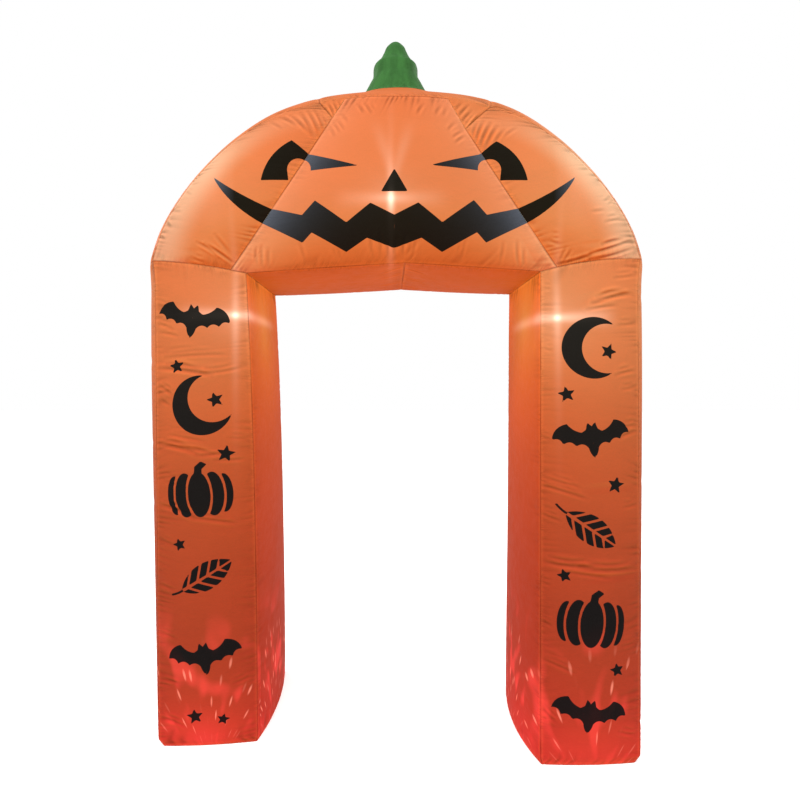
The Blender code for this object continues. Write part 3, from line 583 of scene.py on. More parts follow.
# ======== settings
class ArchCloth(bpy.types.PropertyGroup):
    """Cloth of the arch."""
    orange: FloatVectorProperty(
        name="Orange", description="Colour of the legs' and the head's cloth", subtype="COLOR",
        size=3, min=0.0, max=1.0, default=(0.268, 0.0285, 0.0066))
    orange_foot: FloatVectorProperty(
        name="Orange at the feet", description="Deeper tone of the same cloth near the ground",
        subtype="COLOR", size=3, min=0.0, max=1.0, default=(0.192, 0.0145, 0.0064))
    ink: FloatVectorProperty(
        name="Ink", description="Colour of the print", subtype="COLOR", size=3, min=0.0,
        max=1.0, default=(0.0022, 0.0016, 0.0010))
    # The print's painted sheen: its colour where it is painted as catching the light.
    ink_painted_sheen: FloatVectorProperty(
        name="Ink's shine", description="Colour of the print where it catches the light",
        subtype="COLOR", size=3, min=0.0, max=1.0, default=(0.046, 0.053, 0.068))
    green: FloatVectorProperty(
        name="Green", description="Colour of the stem's cloth", subtype="COLOR", size=3,
        min=0.0, max=1.0, default=(0.026, 0.094, 0.0210))
    face_step: FloatProperty(
        name="Face spacing", description="Distance between points on the printed face",
        unit="LENGTH", min=0.003, max=0.02, default=0.0046)
    print_step: FloatProperty(
        name="Leg print spacing", description="Distance between points on the legs' fronts",
        unit="LENGTH", min=0.003, max=0.02, default=0.0060)
    plain_step: FloatProperty(
        name="Plain spacing", description="Distance between points on plain panels",
        unit="LENGTH", min=0.005, max=0.03, default=0.008)
    gather: FloatProperty(
        name="Gathers", description="Depth of the gathers beside the seams, as a share",
        subtype="FACTOR", min=0.0, max=2.0, default=1.0)
    thread: FloatProperty(
        name="Thread", description="Distance between two threads of the weave",
        unit="LENGTH", precision=5, min=0.0002, max=0.005, default=0.0009)


class ArchStage(bpy.types.PropertyGroup):
    """Floor and lights."""
    floor_size: FloatProperty(
        name="Floor", description="Width of the floor", unit="LENGTH", min=5.0, max=200.0,
        default=60.0)
    floor_colour: FloatVectorProperty(
        name="Floor colour", description="Colour of the floor", subtype="COLOR", size=3,
        min=0.0, max=1.0, default=(0.90, 0.90, 0.90))
    sky: FloatProperty(
        name="Sky", description="Brightness all round", min=0.0, max=5.0, default=1.0)
    front_light: FloatProperty(
        name="Front light", description="Power of the main soft light, high at the front left",
        unit="POWER", min=0.0, max=2000.0, default=155.0)
    top_light: FloatProperty(
        name="Top light", description="Power of the soft light overhead", unit="POWER",
        min=0.0, max=2000.0, default=50.0)
    back_light: FloatProperty(
        name="Back light", description="Power of each soft light behind the arch",
        unit="POWER", min=0.0, max=2000.0, default=110.0)
    stem_steps: IntProperty(
        name="Stem steps", description="Points round half of the stem", min=10, max=120,
        default=48)


# ======== curves
def steps(count, start=0.0, end=1.0):
    """Evenly spaced shares from start to end."""
    return np.linspace(start, end, count + 1)


def bowed(start, end, bow=Vector((0, 0, 0))):
    """A seam from start to end that bows by a vector at its middle."""
    return lambda t: start.lerp(end, t) + bow * (4.0 * t * (1.0 - t))


def stretch(curve, start, end):
    """Part of a curve, from one share of it to another."""
    return lambda t: curve(start + (end - start) * t)


def chain(curves, breaks):
    """Several curves in a row, each over its own share of the whole."""
    def whole(t):
        for curve, low, high in zip(curves, breaks, breaks[1:]):
            if t <= high:
                return curve((t - low) / (high - low))
        return curves[-1](1.0)
    return whole


def smooth_row(rows, t):
    """Point on a smooth curve through a table's rows (Catmull-Rom), t from 0 to 1."""
    span = min(int(t * (len(rows) - 1)), len(rows) - 2)
    part = t * (len(rows) - 1) - span
    before, start, end, after = (
        Vector(rows[min(max(span + k, 0), len(rows) - 1)]) for k in (-1, 0, 1, 2))
    lean = (end - before) * 0.5
    leave = (after - start) * 0.5
    return (start * (2 * part**3 - 3 * part**2 + 1) + lean * (part**3 - 2 * part**2 + part)
            + end * (3 * part**2 - 2 * part**3) + leave * (part**3 - part**2))


def ramp(value, start, over):
    """A share that grows from 0 at a start to 1 after so much more."""
    return np.clip((value - start) / over, 0, 1)


def rounded(share):
    """A share that starts and ends gently."""
    return share**2 * (3 - 2 * share)


def eased(distance, reach):
    """A share that is 0 on an edge and nears 1 away from it."""
    return 1 - np.exp(-distance / reach)


# ======== seams
def corner_seam(leg, edge, face):
    """Upright seam at a leg's outer or inner edge, on the front or back, from the ground up."""
    def seam(v):
        draw = max(0.0, 1.0 - v / FOOT_SHARE)
        if edge == "outer":
            flare = max(0.0, (v - FLARE_FROM) / (1.0 - FLARE_FROM)) ** 2
            x = leg.outer_foot + (leg.outer_top - leg.outer_foot) * v
            x += CORNER_FLARE * flare - FOOT_DRAW[edge] * draw
            step, height = leg.step_outer, leg.waist_outer
        else:
            x = leg.inner_foot + (leg.inner_top - leg.inner_foot) * v**leg.inner_power
            x += FOOT_DRAW[edge] * draw
            step, height = leg.step_inner, leg.waist_inner
        y = face * (HALF_DEPTH - FOOT_DRAW_DEEP * draw) + step * (1.0 - v)
        return Vector((leg.side * x, y, height * v))
    return seam


def waist_seam(leg, face):
    """Seam between a leg and the face or back, from the outer corner to the doorway."""
    outer = corner_seam(leg, "outer", face)(1.0)
    inner = corner_seam(leg, "inner", face)(1.0)
    return bowed(outer, inner, Vector((0, face * WAIST_BOW, leg.waist_rise)))


def band_waist(leg):
    """Seam between a leg's outer band and the crown, from front to back."""
    bow = Vector((leg.side * BAND_BOW_WAIST, 0, BAND_LIFT_WAIST))
    return bowed(corner_seam(leg, "outer", FRONT)(1.0), corner_seam(leg, "outer", BACK)(1.0), bow)


def doorway_corner(leg):
    """Seam between a leg's inner panel and the soffit, from front to back."""
    return bowed(corner_seam(leg, "inner", FRONT)(1.0), corner_seam(leg, "inner", BACK)(1.0))


def crown_seam(leg, face):
    """Head's outline on one side, from the corner over the leg to the middle of the crown."""
    def seam(t):
        x, z = smooth_row(OUTLINE, t)
        z += (leg.waist_outer - OUTLINE[0].z) * (1.0 - t) ** 3
        return Vector((leg.side * x, face * HALF_DEPTH, z))
    return seam


def cross_seam(leg):
    """Seam over the crown between a haunch band and the cap, from front to back."""
    share = EARS[leg.name].outer
    front, back = crown_seam(leg, FRONT)(share), crown_seam(leg, BACK)(share)
    outline = crown_seam(leg, FRONT)
    along = outline(share + SLOPE_STEP) - outline(share - SLOPE_STEP)
    outward = Vector((along.z, 0, -along.x)).normalized()
    if outward.z < 0:
        outward.negate()
    return bowed(front, back, outward * EARS[leg.name].crown_bow)


def ear_joint(leg, face):
    """Point where an ear's two seams meet the gore seam."""
    ear = EARS[leg.name]
    return Vector((ear.joint_x, face * (HALF_DEPTH + EAR_JOINT_BOW), ear.joint_z))


def ear_seam(leg, face, share):
    """Sloping seam of an ear, from a place on the crown seam down to the joint."""
    return bowed(crown_seam(leg, face)(share), ear_joint(leg, face))


def gore_seam(leg, face):
    """Seam between the centre gore and a side gore, from the waist seam up to the ear."""
    foot = waist_seam(leg, face)(GORE_FOOT)
    bow = Vector((-leg.side * GORE_BOW.x, face * GORE_BOW.y, -GORE_BOW.z))
    return bowed(foot, ear_joint(leg, face), bow)


def gore_side(leg, face):
    """Side of the centre gore: the gore seam, then the ear's inner seam up to the crown."""
    up_the_ear = ear_seam(leg, face, EARS[leg.name].inner)
    return chain((gore_seam(leg, face), stretch(up_the_ear, 1.0, 0.0)),
                 (0.0, EAR_JOINT_SHARE, 1.0))


def doorway_edge(leg, face):
    """Doorway's top edge, from a leg to the soffit's middle seam."""
    corner = corner_seam(leg, "inner", face)(1.0)
    middle = SOFFIT_MIDDLE + Vector((0, face * (HALF_DEPTH + SOFFIT_MIDDLE_BOW), 0))
    return bowed(corner, middle, Vector((0, face * SOFFIT_MIDDLE_BOW / 4, 0)))


def leg_sides(leg):
    """A leg's four panels: the corner seams at their two sides, and the way they face."""
    seam = {(edge, face): corner_seam(leg, edge, face)
            for edge in ("outer", "inner") for face in (FRONT, BACK)}
    return {
        "front": (seam["outer", FRONT], seam["inner", FRONT], Vector((0, FRONT, 0))),
        "back": (seam["outer", BACK], seam["inner", BACK], Vector((0, BACK, 0))),
        "outer": (seam["outer", FRONT], seam["outer", BACK], Vector((leg.side, 0, 0))),
        "inner": (seam["inner", FRONT], seam["inner", BACK], Vector((-leg.side, 0, 0))),
    }


def foot_edge(leg, name):
    """Edge of a leg's base under one of its panels, in the panel's own direction."""
    start, end, outward = leg_sides(leg)[name]
    bow = leg.inner_foot_bow if name == "inner" else FOOT_BOW[name]
    return bowed(start(0.0), end(0.0), outward * bow)


# ======== surfaces
def points_on(curve, shares):
    """Points of a curve at some shares, as rows of an array."""
    return np.array([curve(float(t)) for t in shares])


def coons(bottom, top, left, right, across, up, bow=(0, 0, 0), power=2):
    """Points of a panel between four seams, bowed in its middle: rows run up, columns across."""
    low, high = points_on(bottom, across)[None], points_on(top, across)[None]
    near, far = points_on(left, up)[:, None], points_on(right, up)[:, None]
    u, v = across[None, :, None], up[:, None, None]
    spot = low * (1 - v) + high * v + near * (1 - u) + far * u
    spot -= (1 - u) * (1 - v) * low[:, :1] + u * (1 - v) * low[:, -1:]
    spot -= (1 - u) * v * high[:, :1] + u * v * high[:, -1:]
    return spot + np.array(bow) * (4 * u * (1 - u)) * (1 - np.abs(2 * v - 1) ** power)


def normals(spot, outward):
    """Unit normals of a grid of points, turned outward."""
    way = np.cross(np.gradient(spot, axis=1), np.gradient(spot, axis=0))
    length = np.linalg.norm(way, axis=2, keepdims=True)
    plain = np.array(outward, float)[None, None]
    if (way * plain).sum() < 0:
        way = -way
    return np.where(length > 1e-12, way / np.maximum(length, 1e-12), plain)


def lengths(spot, axis):
    """How far each point lies along the cloth from the grid's first row or column."""
    run = np.linalg.norm(np.diff(spot, axis=axis), axis=2).cumsum(axis=axis)
    return np.insert(run, 0, 0.0, axis=axis)


def cut_of(spot):
    """Distances on the cloth: across and up it, and away from and along each of its sides."""
    across, up = lengths(spot, 1), lengths(spot, 0)
    away = {"left": across, "right": across[:, -1:] - across,
            "bottom": up, "top": up[-1:] - up}
    along = {"left": up, "right": up, "bottom": across, "top": across}
    return across, up, away, along


def shares_by(length, step, edge_step=None, breaks=(0.0, 1.0)):
    """Shares that cut a length into steps, finer near its two ends, with a point at each break."""
    marks = [0.0]
    for low, high in zip(breaks, breaks[1:]):
        marks += list(steps(max(1, round((high - low) * length / step)), low, high)[1:])
    if edge_step:
        edge = FINE_EDGE / length
        fine = steps(max(1, round(FINE_EDGE / edge_step)), 0.0, edge)
        middle = [m for m in marks if edge < m < 1 - edge]
        marks = list(fine) + middle + [1 - m for m in reversed(fine)]
    return np.array(marks)


# ======== relief
def wander(x, seed):
    """A smooth irregular wave of x, between about -1 and 1."""
    phases = np.random.default_rng(seed).uniform(0, 2 * math.pi, 4)
    waves = zip((1.0, 1.73, 2.91, 4.37), (0.42, 0.30, 0.18, 0.10), phases)
    return sum(size * np.sin(rate * x + phase) for rate, size, phase in waves)


def uneven(look, along, kind, seed):
    """Share by which the gathers of a seam differ along it."""
    wave = wander(along / (kind.pitches * look.pitch), seed)
    return np.clip(kind.mean + kind.swing * wave, kind.low, kind.high)


def gathered(away, along, look, seed):
    """Depth of the short folds that run in from a seam."""
    crowd = CROWD * wander(along / (CROWD_PITCHES * look.pitch), seed)
    lean = LEAN * (away / look.pitch) * wander(along / LEAN_LENGTH, seed + 1)
    turn = along / look.pitch + crowd + lean
    ridge = (0.5 + 0.5 * np.cos(2 * math.pi * turn)) ** RIDGE_POWER
    strength = uneven(look, along, GATHER_DEPTHS, seed + 2)
    reach = look.near * uneven(look, along, GATHER_LENGTHS, seed + 3)
    return look.depth * strength * ridge * (away / reach) * np.exp(1 - away / reach)


def creased(spot, creases, second=2):
    """Depth of the listed creases over a grid's points, by X and a second axis."""
    a, b = spot[..., 0], spot[..., second]
    depth = np.zeros_like(a)
    for c in (Crease(*row) for row in creases):
        run = np.array((c.c - c.a, c.d - c.b))
        size = np.hypot(*run)
        run /= size
        for line in range(c.lines):
            aside = line * CREASE_GAP * c.half
            begin = line % 2 * CREASE_LATER * size
            reach = size * (1 - CREASE_SHORTER * line) - begin
            from_a, from_b = a - c.a - run[0] * begin, b - c.b - run[1] * begin
            part = np.clip((from_a * run[0] + from_b * run[1]) / reach, 0, 1)
            shift = c.bend * 4 * part * (1 - part) + aside
            beside = np.hypot(from_a - run[0] * part * reach + run[1] * shift,
                              from_b - run[1] * part * reach - run[0] * shift)
            q = beside / c.half
            trough = np.exp(-q**2) - CREASE_RISE * np.exp(-(q - CREASE_RISE_AT) ** 2)
            taper = np.sin(math.pi * np.clip(part, *CREASE_ENDS)) ** TAPER_POWER
            depth += c.depth * (1 - CREASE_FAINTER * line) * trough * taper
    return depth


def fold_shade(spot, outward, crease):
    """Painted shade of the folds: their depth, less where they turn up to the light."""
    plain = normals(spot, outward)
    turned = normals(spot - plain * crease[..., None], outward)
    return crease - TURN_SHADE * ((turned - plain) @ np.array(SUN_WAY))


def soft_fold(place, v, half):
    """Depth share of one of the frame's folds, rounded: 1 on it, 0 from its sides."""
    near = np.clip(np.abs(v - place) / (half * FOLD_SPREAD), 0, 1)
    return 0.5 + 0.5 * np.cos(math.pi * near)


def swollen(away):
    """How far the cloth stands proud of its seams, by distances from each of them."""
    return SWELL * eased(np.minimum.reduce(list(away)), SWELL_REACH)


def across_panel(depth, u):
    """Depth of a fold over its panel's width: it runs in from the outer seam."""
    return depth * 4 * u * np.clip(1 - u / FOLD_REACH, 0, 1)


# ======== print shapes
def polygon_depth(corners, x, z):
    """How far each place lies inside a closed outline; negative outside it."""
    nearest = np.full(x.shape, np.inf)
    inside = np.zeros(x.shape, bool)
    for (x0, z0), (x1, z1) in zip(corners, corners[1:] + corners[:1]):
        run_x, run_z = x1 - x0, z1 - z0
        part = np.clip(((x - x0) * run_x + (z - z0) * run_z) / (run_x**2 + run_z**2), 0, 1)
        nearest = np.minimum(nearest, np.hypot(x - x0 - run_x * part, z - z0 - run_z * part))
        crosses = (z0 > z) != (z1 > z)
        side = (x1 - x0) * (z - z0) / np.where(z1 == z0, 1.0, z1 - z0) + x0
        inside ^= crosses & (x < side)
    return np.where(inside, nearest, -nearest)


def disc_depth(x, z, centre_x, centre_z, radius):
    """How far each place lies inside a disc."""
    return radius - np.hypot(x - centre_x, z - centre_z)


def bent(start, end, sag, count=6):
    """Points from start up to but not including end, on a line that bends to its left."""
    run_x, run_z = end[0] - start[0], end[1] - start[1]
    size = math.hypot(run_x, run_z)
    made = []
    for k in range(count):
        t = k / count
        off = 4 * sag * t * (1 - t) / size
        made.append((start[0] + run_x * t - run_z * off, start[1] + run_z * t + run_x * off))
    return made


def star(x, z):
    """A star one unit across."""
    corners = []
    for k in range(2 * STAR_POINTS):
        radius = 0.5 if k % 2 == 0 else 0.5 * STAR_WAIST
        angle = math.pi / 2 + math.pi * k / STAR_POINTS
        corners.append((radius * math.cos(angle), radius * math.sin(angle)))
    return polygon_depth(corners, x, z)


def moon(x, z):
    """A crescent moon one unit high, with a star in its arms."""
    crescent = np.minimum(disc_depth(x, z, 0, 0, 0.5), -disc_depth(x, z, 0.20, 0.06, 0.40))
    return np.maximum(crescent, 0.30 * star((x - 0.24) / 0.30, (z - 0.02) / 0.30))


def bat(x, z):
    """A bat one unit across, its wings spread."""
    ear, neck, shoulder = (0.050, 0.215), (0.075, 0.120), (0.130, 0.085)
    knuckle, tip = (0.300, 0.215), (0.500, 0.020)
    first, second, tail = (0.370, -0.050), (0.215, -0.085), (0.065, -0.120)
    half = [(0.0, 0.155), ear, neck]
    half += bent(shoulder, knuckle, -0.022) + bent(knuckle, tip, 0.050)
    half += bent(tip, first, -0.040) + bent(first, second, -0.042)
    half += bent(second, tail, -0.038) + bent(tail, (0.0, -0.255), 0.012)
    half.append((0.0, -0.255))
    return polygon_depth(half, np.abs(x), z)


def leaf(x, z):
    """A pointed leaf one unit long, its ribs and stalk left bare or drawn out."""
    blade = np.minimum(disc_depth(x, z, 0, -0.36, 0.56), disc_depth(x, z, 0, 0.36, 0.56))
    veins = np.abs(z) - 0.014 - 0.012 * np.clip(0.35 - x, 0, 1)
    for k in range(-2, 2):
        start = 0.17 * k + 0.02
        lean = np.abs(np.abs(z) - (x - start) * 1.1) * 0.67 - 0.0165
        veins = np.minimum(veins, np.where(x > start, lean + 0.3 * np.clip(x - 0.26, 0, 1), 1.0))
    stalk = np.minimum(0.016 - np.abs(z - 0.96 * (x + 0.42) ** 2), 0.10 - np.abs(x + 0.50))
    return np.maximum(np.minimum(blade, veins), stalk)


def pumpkin(x, z):
    """A small pumpkin one unit across, bare lines between its lobes."""
    body = np.full(x.shape, -1.0)
    for centre, half, top in ((0.37, 0.13, 0.30), (0.21, 0.16, 0.34), (0.0, 0.17, 0.35)):
        off = np.abs(np.abs(x) - centre) if centre else np.abs(x)
        far = np.hypot(off / half, (z + 0.05) / top)
        lobe = (1 - far) * half * 0.9
        body = np.maximum(np.minimum(body, -lobe - PUMPKIN_LINE), lobe)
    stem = polygon_depth([(-0.06, 0.22), (0.06, 0.22), (0.07, 0.34), (0.15, 0.41), (0.06, 0.46),
                          (-0.04, 0.38)], x, z)
    return np.maximum(body, stem)


MOTIFS = {"star": star, "moon": moon, "bat": bat, "leaf": leaf, "pumpkin": pumpkin}


def leg_print(leg, x, z):
    """Depth inside the motifs down the front of a leg."""
    depth = np.full(x.shape, NO_PRINT)
    for motif in LEG_PRINTS[leg.name]:
        turn = math.radians(motif.turn)
        right, up = x - motif.x, z - motif.z
        own_x = (right * math.cos(turn) + up * math.sin(turn)) / motif.size
        own_z = (up * math.cos(turn) - right * math.sin(turn)) / motif.size
        depth = np.maximum(depth, MOTIFS[motif.kind](own_x, own_z) * motif.size)
    return depth


def face_print(x, z):
    """Depth inside the carved face: two eyes, a nose and a jagged mouth."""
    side = np.abs(x - FACE_X)
    eye = bent(EYE_FOOT, EYE_TOP, -EYE_SWELL, 10) + [EYE_TOP, EYE_BROW, EYE_TIP, EYE_UNDER,
                                                    EYE_BITE, EYE_HEEL]
    slot = EYE_BITE_RADIUS + 0.1 * (z - EYE_BITE.z) - np.abs(side - EYE_BITE.x)
    bite = np.where(z > EYE_BITE.z, disc_depth(side, z, *EYE_BITE, EYE_BITE_RADIUS), slot)
    eyes = np.minimum(polygon_depth(eye[::-1], side, z), -bite)
    upper = bent(MOUTH_TIP, MOUTH_UPPER[0], MOUTH_HORN_SAG[0], 8) + list(MOUTH_UPPER)
    lower = bent(MOUTH_LOWER[0], MOUTH_TIP, -MOUTH_HORN_SAG[1], 10)
    mouth = polygon_depth(upper + list(reversed(MOUTH_LOWER[1:])) + lower, side, z)
    return np.maximum.reduce([eyes, mouth, polygon_depth(NOSE, x - FACE_X, z)])


# ======== sewing
# Besides the print and the seams, these carry the painted sheen, the painted shade of the folds and
# the painted pale light by the side gores' rims.
LAYERS = ("ink", "painted_sheen", "crease", "rim", "side_near", "end_near", "cut_u", "cut_v")


def lay(shape, spot, values):
    """Add a grid of points to a mesh, with what each point knows about its cloth."""
    layers = [shape.verts.layers.float.get(n) or shape.verts.layers.float.new(n) for n in LAYERS]
    rows, columns = spot.shape[:2]
    known = np.stack([np.broadcast_to(values[n], (rows, columns)) for n in LAYERS], axis=2)
    points = []
    for row in range(rows):
        line = [shape.verts.new(place) for place in spot[row]]
        for vertex, facts in zip(line, known[row].tolist()):
            for layer, fact in zip(layers, facts):
                vertex[layer] = fact
        points.append(line)
    for low, high in zip(points, points[1:]):
        for k in range(columns - 1):
            shape.faces.new((low[k], low[k + 1], high[k + 1], high[k]))


def mitre(vertex):
    """Direction from a boundary vertex into its panel, as long as one unit of set-back needs."""
    inward = []
    for edge in vertex.link_edges:
        if edge.is_boundary:
            face = edge.link_faces[0]
            loop = next(l for l in face.loops if l.edge == edge)
            along = (loop.link_loop_next.vert.co - loop.vert.co).normalized()
            inward.append(face.normal.cross(along))
    first, second = inward
    return (first + second) / (1.0 + first.dot(second))


def thicken(shape):
    """Turn an open surface into a closed sheet, its edges mitred for the seams."""
    bmesh.ops.triangulate(shape, faces=shape.faces, quad_method="SHORT_EDGE")
    shape.normal_update()
    rim = [e for e in shape.edges if e.is_boundary]
    inset = {v: mitre(v) for v in shape.verts if v.is_boundary}
    lining = {}
    for vertex in list(shape.verts):
        inner = vertex.co - vertex.normal * SHEET
        if vertex in inset:
            inner += inset[vertex] * (SEAM_GAP / 2 + SEAM_BACK)
        lining[vertex] = inner
    for vertex, way in inset.items():
        vertex.co += way * (SEAM_GAP / 2)
    outer_faces = list(shape.faces)
    starts = [next(l for l in e.link_faces[0].loops if l.edge == e) for e in rim]
    starts = [(l.vert, l.link_loop_next.vert) for l in starts]
    inner_of = {v: shape.verts.new(place, v) for v, place in lining.items()}
    for face in outer_faces:
        shape.faces.new([inner_of[v] for v in reversed(face.verts)])
    for start, end in starts:
        shape.faces.new((end, start, inner_of[start], inner_of[end]))


def shine(lamps, places, ways):
    """How much of some lamps' light reaches each place of the cloth, more where it faces them."""
    total = np.zeros(len(places))
    for lamp in lamps:
        run = places - np.array((lamp.x, lamp.y, lamp.z))
        far = np.linalg.norm(run, axis=1)
        facing = np.abs((run * ways).sum(axis=1)) / np.maximum(far, 1e-6)
        through = LAMP_SIDEWAYS + (1 - LAMP_SIDEWAYS) * facing
        total += lamp.power * lamp.soft**2 / (far**2 + lamp.soft**2) * through
    return total * (1 - UNDERSIDE_LOSS * rounded(ramp(-ways[:, 2], *UNDERSIDE)))


def levelled(light, share, rate):
    """Light that tends to a share as it grows, at a rate."""
    return share * (1 - np.exp(-rate * light))


def lamplight(places, ways):
    """Painted light of the lamps through the cloth at each place, red, green and blue."""
    warm, red = shine(WARM_LAMPS, places, ways), shine(RED_LAMPS, places, ways)
    red = red * np.exp(-np.clip(places[:, 2], 0, None) / RED_HEIGHT)
    inward = np.clip(-np.sign(places[:, 0]) * ways[:, 0], 0, 1)
    doorway = np.maximum(inward, np.clip(-ways[:, 2], 0, 1)) ** 2
    top = inward**2 * ramp(places[:, 2], *TOP_HEIGHT)
    down = np.clip(-2 * ways[:, 2], 0, 1)
    strong = levelled(warm, *WARM_RED) + levelled(red, *RED_RED)
    strong += doorway * (DOORWAY_RED[0] + DOORWAY_RED[1] * warm)
    strong += DOWN_LIGHT[0] * down + TOP_LIGHT[0] * top
    green = (WARM_GREEN[0] * warm + WARM_GREEN[1] * warm**2) * (1 - DOORWAY_GREEN_LOSS * doorway)
    green += RED_GREEN * red + DOWN_LIGHT[1] * down + TOP_LIGHT[1] * top
    blue = (WARM_BLUE[0] * warm + WARM_BLUE[1] * warm**2) * (1 - DOORWAY_BLUE_LOSS * doorway)
    return np.stack([strong, green, blue + RED_BLUE * red], axis=1)


def light_up(shape):
    """Note the lamps' painted light at every point of an open surface."""
    layer = shape.verts.layers.float_vector.new("lamplight")
    places = np.array([v.co for v in shape.verts])
    ways = np.array([v.normal for v in shape.verts])
    for vertex, level in zip(shape.verts, lamplight(places, ways)):
        vertex[layer] = level


def sew(name, shape, outward, finish):
    """Make the sheet an object, its outer face turned the given way."""
    bmesh.ops.remove_doubles(shape, verts=shape.verts, dist=MERGE)
    shape.normal_update()
    facing = sum((f.normal * f.calc_area() for f in shape.faces), Vector())
    if facing.dot(Vector(outward)) < 0:
        bmesh.ops.reverse_faces(shape, faces=shape.faces)
        shape.normal_update()
    area = sum(f.calc_area() for f in shape.faces)
    light_up(shape)
    thicken(shape)
    mesh = bpy.data.meshes.new(name)
    shape.to_mesh(mesh)
    shape.free()
    mesh.materials.append(finish)
    mesh.shade_smooth()
    mesh.set_sharp_from_angle(angle=SHARP_ANGLE)
    cut = np.empty((2, len(mesh.vertices)), np.float32)
    for row, coordinate in zip(cut, ("cut_u", "cut_v")):
        mesh.attributes[coordinate].data.foreach_get("value", row)
    corner = np.empty(len(mesh.loops), np.int32)
    mesh.loops.foreach_get("vertex_index", corner)
    chart = mesh.uv_layers.new(name="cut")
    chart.data.foreach_set("uv", np.ascontiguousarray(cut[:, corner].T).ravel())
    for coordinate in ("cut_u", "cut_v"):
        mesh.attributes.remove(mesh.attributes[coordinate])
    panel = bpy.data.objects.new(name, mesh)
    bpy.context.scene.collection.objects.link(panel)
    return panel, area


def fit(panel, node, flat, area):
    """Put a panel in its node's place and hide the node."""
    area = min(area, flat[0] * flat[1])
    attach(panel, BODY)
    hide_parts(node)


def nearest_of(away, names, sides):
    """Distance from the nearest of some seams, or far where the panel has none of them."""
    return np.minimum.reduce([away[n] if n in sides else np.full_like(away[n], FAR)
                              for n in names])


def values_of(across, up, away, sides, ink, painted_sheen=0.0, crease=0.0, rim=0.0, hidden=0.0):
    """What each point of a grid knows: its print, painted sheen, painted fold shade, painted rim
    light, seams and place in the cut.
    """
    return {"ink": ink, "painted_sheen": painted_sheen, "crease": crease, "rim": rim,
            "cut_u": across, "cut_v": up,
            "side_near": nearest_of(away, ("left", "right"), sides) + hidden,
            "end_near": nearest_of(away, ("bottom", "top"), sides)}


def worked(spot, outward, sides, seed, creases=0.0, folds=0.0):
    """A grid with its relief: swollen between the seams, gathered beside them and creased, and the
    painted shade of its folds.
    """
    across, up, away, along = cut_of(spot)
    amount = bpy.context.scene.arch_cloth.gather
    crease = creases * eased(np.minimum.reduce(list(away.values())), CREASE_EASE)
    for k, (side, look) in enumerate(sides.items()):
        crease = crease + amount * gathered(away[side], along[side], look, seed + 10 * k)
    lift = swollen(away[s] for s in sides) - folds - crease
    other = [away[s] for s in away if s not in sides]
    if other:
        lift = lift * eased(np.minimum.reduce(other), EDGE_EASE)
    shaped = spot + normals(spot, outward) * lift[..., None]
    return shaped, (across, up, away, along), fold_shade(spot, outward, crease)


def dashes(along):
    """Added to the distance from a seam that only shows here and there."""
    return SEAM_HIDDEN * np.clip(0.5 + 1.6 * wander(along / HIDDEN_RATE, HIDDEN_SEED), 0, 1)


def one_panel(node, spot, outward, sides, seed, creases=0.0, folds=0.0,
              ink=NO_PRINT, painted_sheen=0.0, rim=0.0, hidden=0.0, floor=False):
    """One panel cut from one grid."""
    shaped, cut, crease = worked(spot, outward, sides, seed, creases, folds)
    if floor:
        shaped[..., 2] = np.maximum(shaped[..., 2], 0.0)
    shape = bmesh.new()
    lay(shape, shaped, values_of(*cut[:3], sides, ink, painted_sheen, crease, rim, hidden))
    panel, area = sew(f"cloth_{node}", shape, outward, orange_cloth())
    flat = (float(cut[0][:, -1].max()) * CUT_SLACK, float(cut[1][-1].max()) * CUT_SLACK)
    fit(panel, node, flat, area)
    return panel


# ======== the legs
LEG_GATHERS = {          # at a panel's outer or front seam, at the other one, and at its top
    "front": (CORNER_GATHER, INNER_GATHER, WAIST_GATHER),
    "back": (CORNER_GATHER, INNER_GATHER, WAIST_GATHER),
    "outer": (CORNER_GATHER, CORNER_GATHER, CROSS_GATHER),
    "inner": (INNER_GATHER, INNER_GATHER, CROSS_GATHER),
}


def leg_panel(leg, name, seed):
    """Front, back, outer or inner panel of a leg."""
    cloth = bpy.context.scene.arch_cloth
    left, right, outward = leg_sides(leg)[name]
    top = {"front": waist_seam(leg, FRONT), "back": waist_seam(leg, BACK),
           "outer": band_waist(leg), "inner": doorway_corner(leg)}[name]
    step = cloth.print_step if name == "front" else cloth.plain_step
    width = (left(0.5) - right(0.5)).length
    across = (shares_by(width, MIDDLE_STEP, step * LEG_EDGE_COLUMNS)
              if name in ("outer", "inner") else shares_by(width, step))
    up = shares_by(leg.waist_outer, step * LEG_ROWS[name])
    bow = leg.inner_bow if name == "inner" else LEG_BOW[name]
    spot = coons(foot_edge(leg, name), top, left, right, across, up, outward * bow, LEG_POWER)
    folds, creases, ink = 0.0, 0.0, NO_PRINT
    if name != "inner":
        depth = sum(soft_fold(fold.share, up[:, None], FOLD_HALF)
                    * (fold.band * BAND_SHARE if name == "outer" else fold.front)
                    for fold in LEG_FOLDS[leg.name])
        folds = across_panel(depth, across[None])
    if name in ("front", "back"):
        creases = creased(spot, LEG_CREASES[leg.name])
    if name == "front":
        ink = leg_print(leg, spot[..., 0], spot[..., 2])
    sides = dict(zip(("left", "right", "top", "bottom"), (*LEG_GATHERS[name], FOOT_GATHER)))
    return one_panel(f"leg_{leg.name}_{name}", spot, outward, sides, seed,
                     creases, folds, ink, LEG_SHEEN, floor=True)


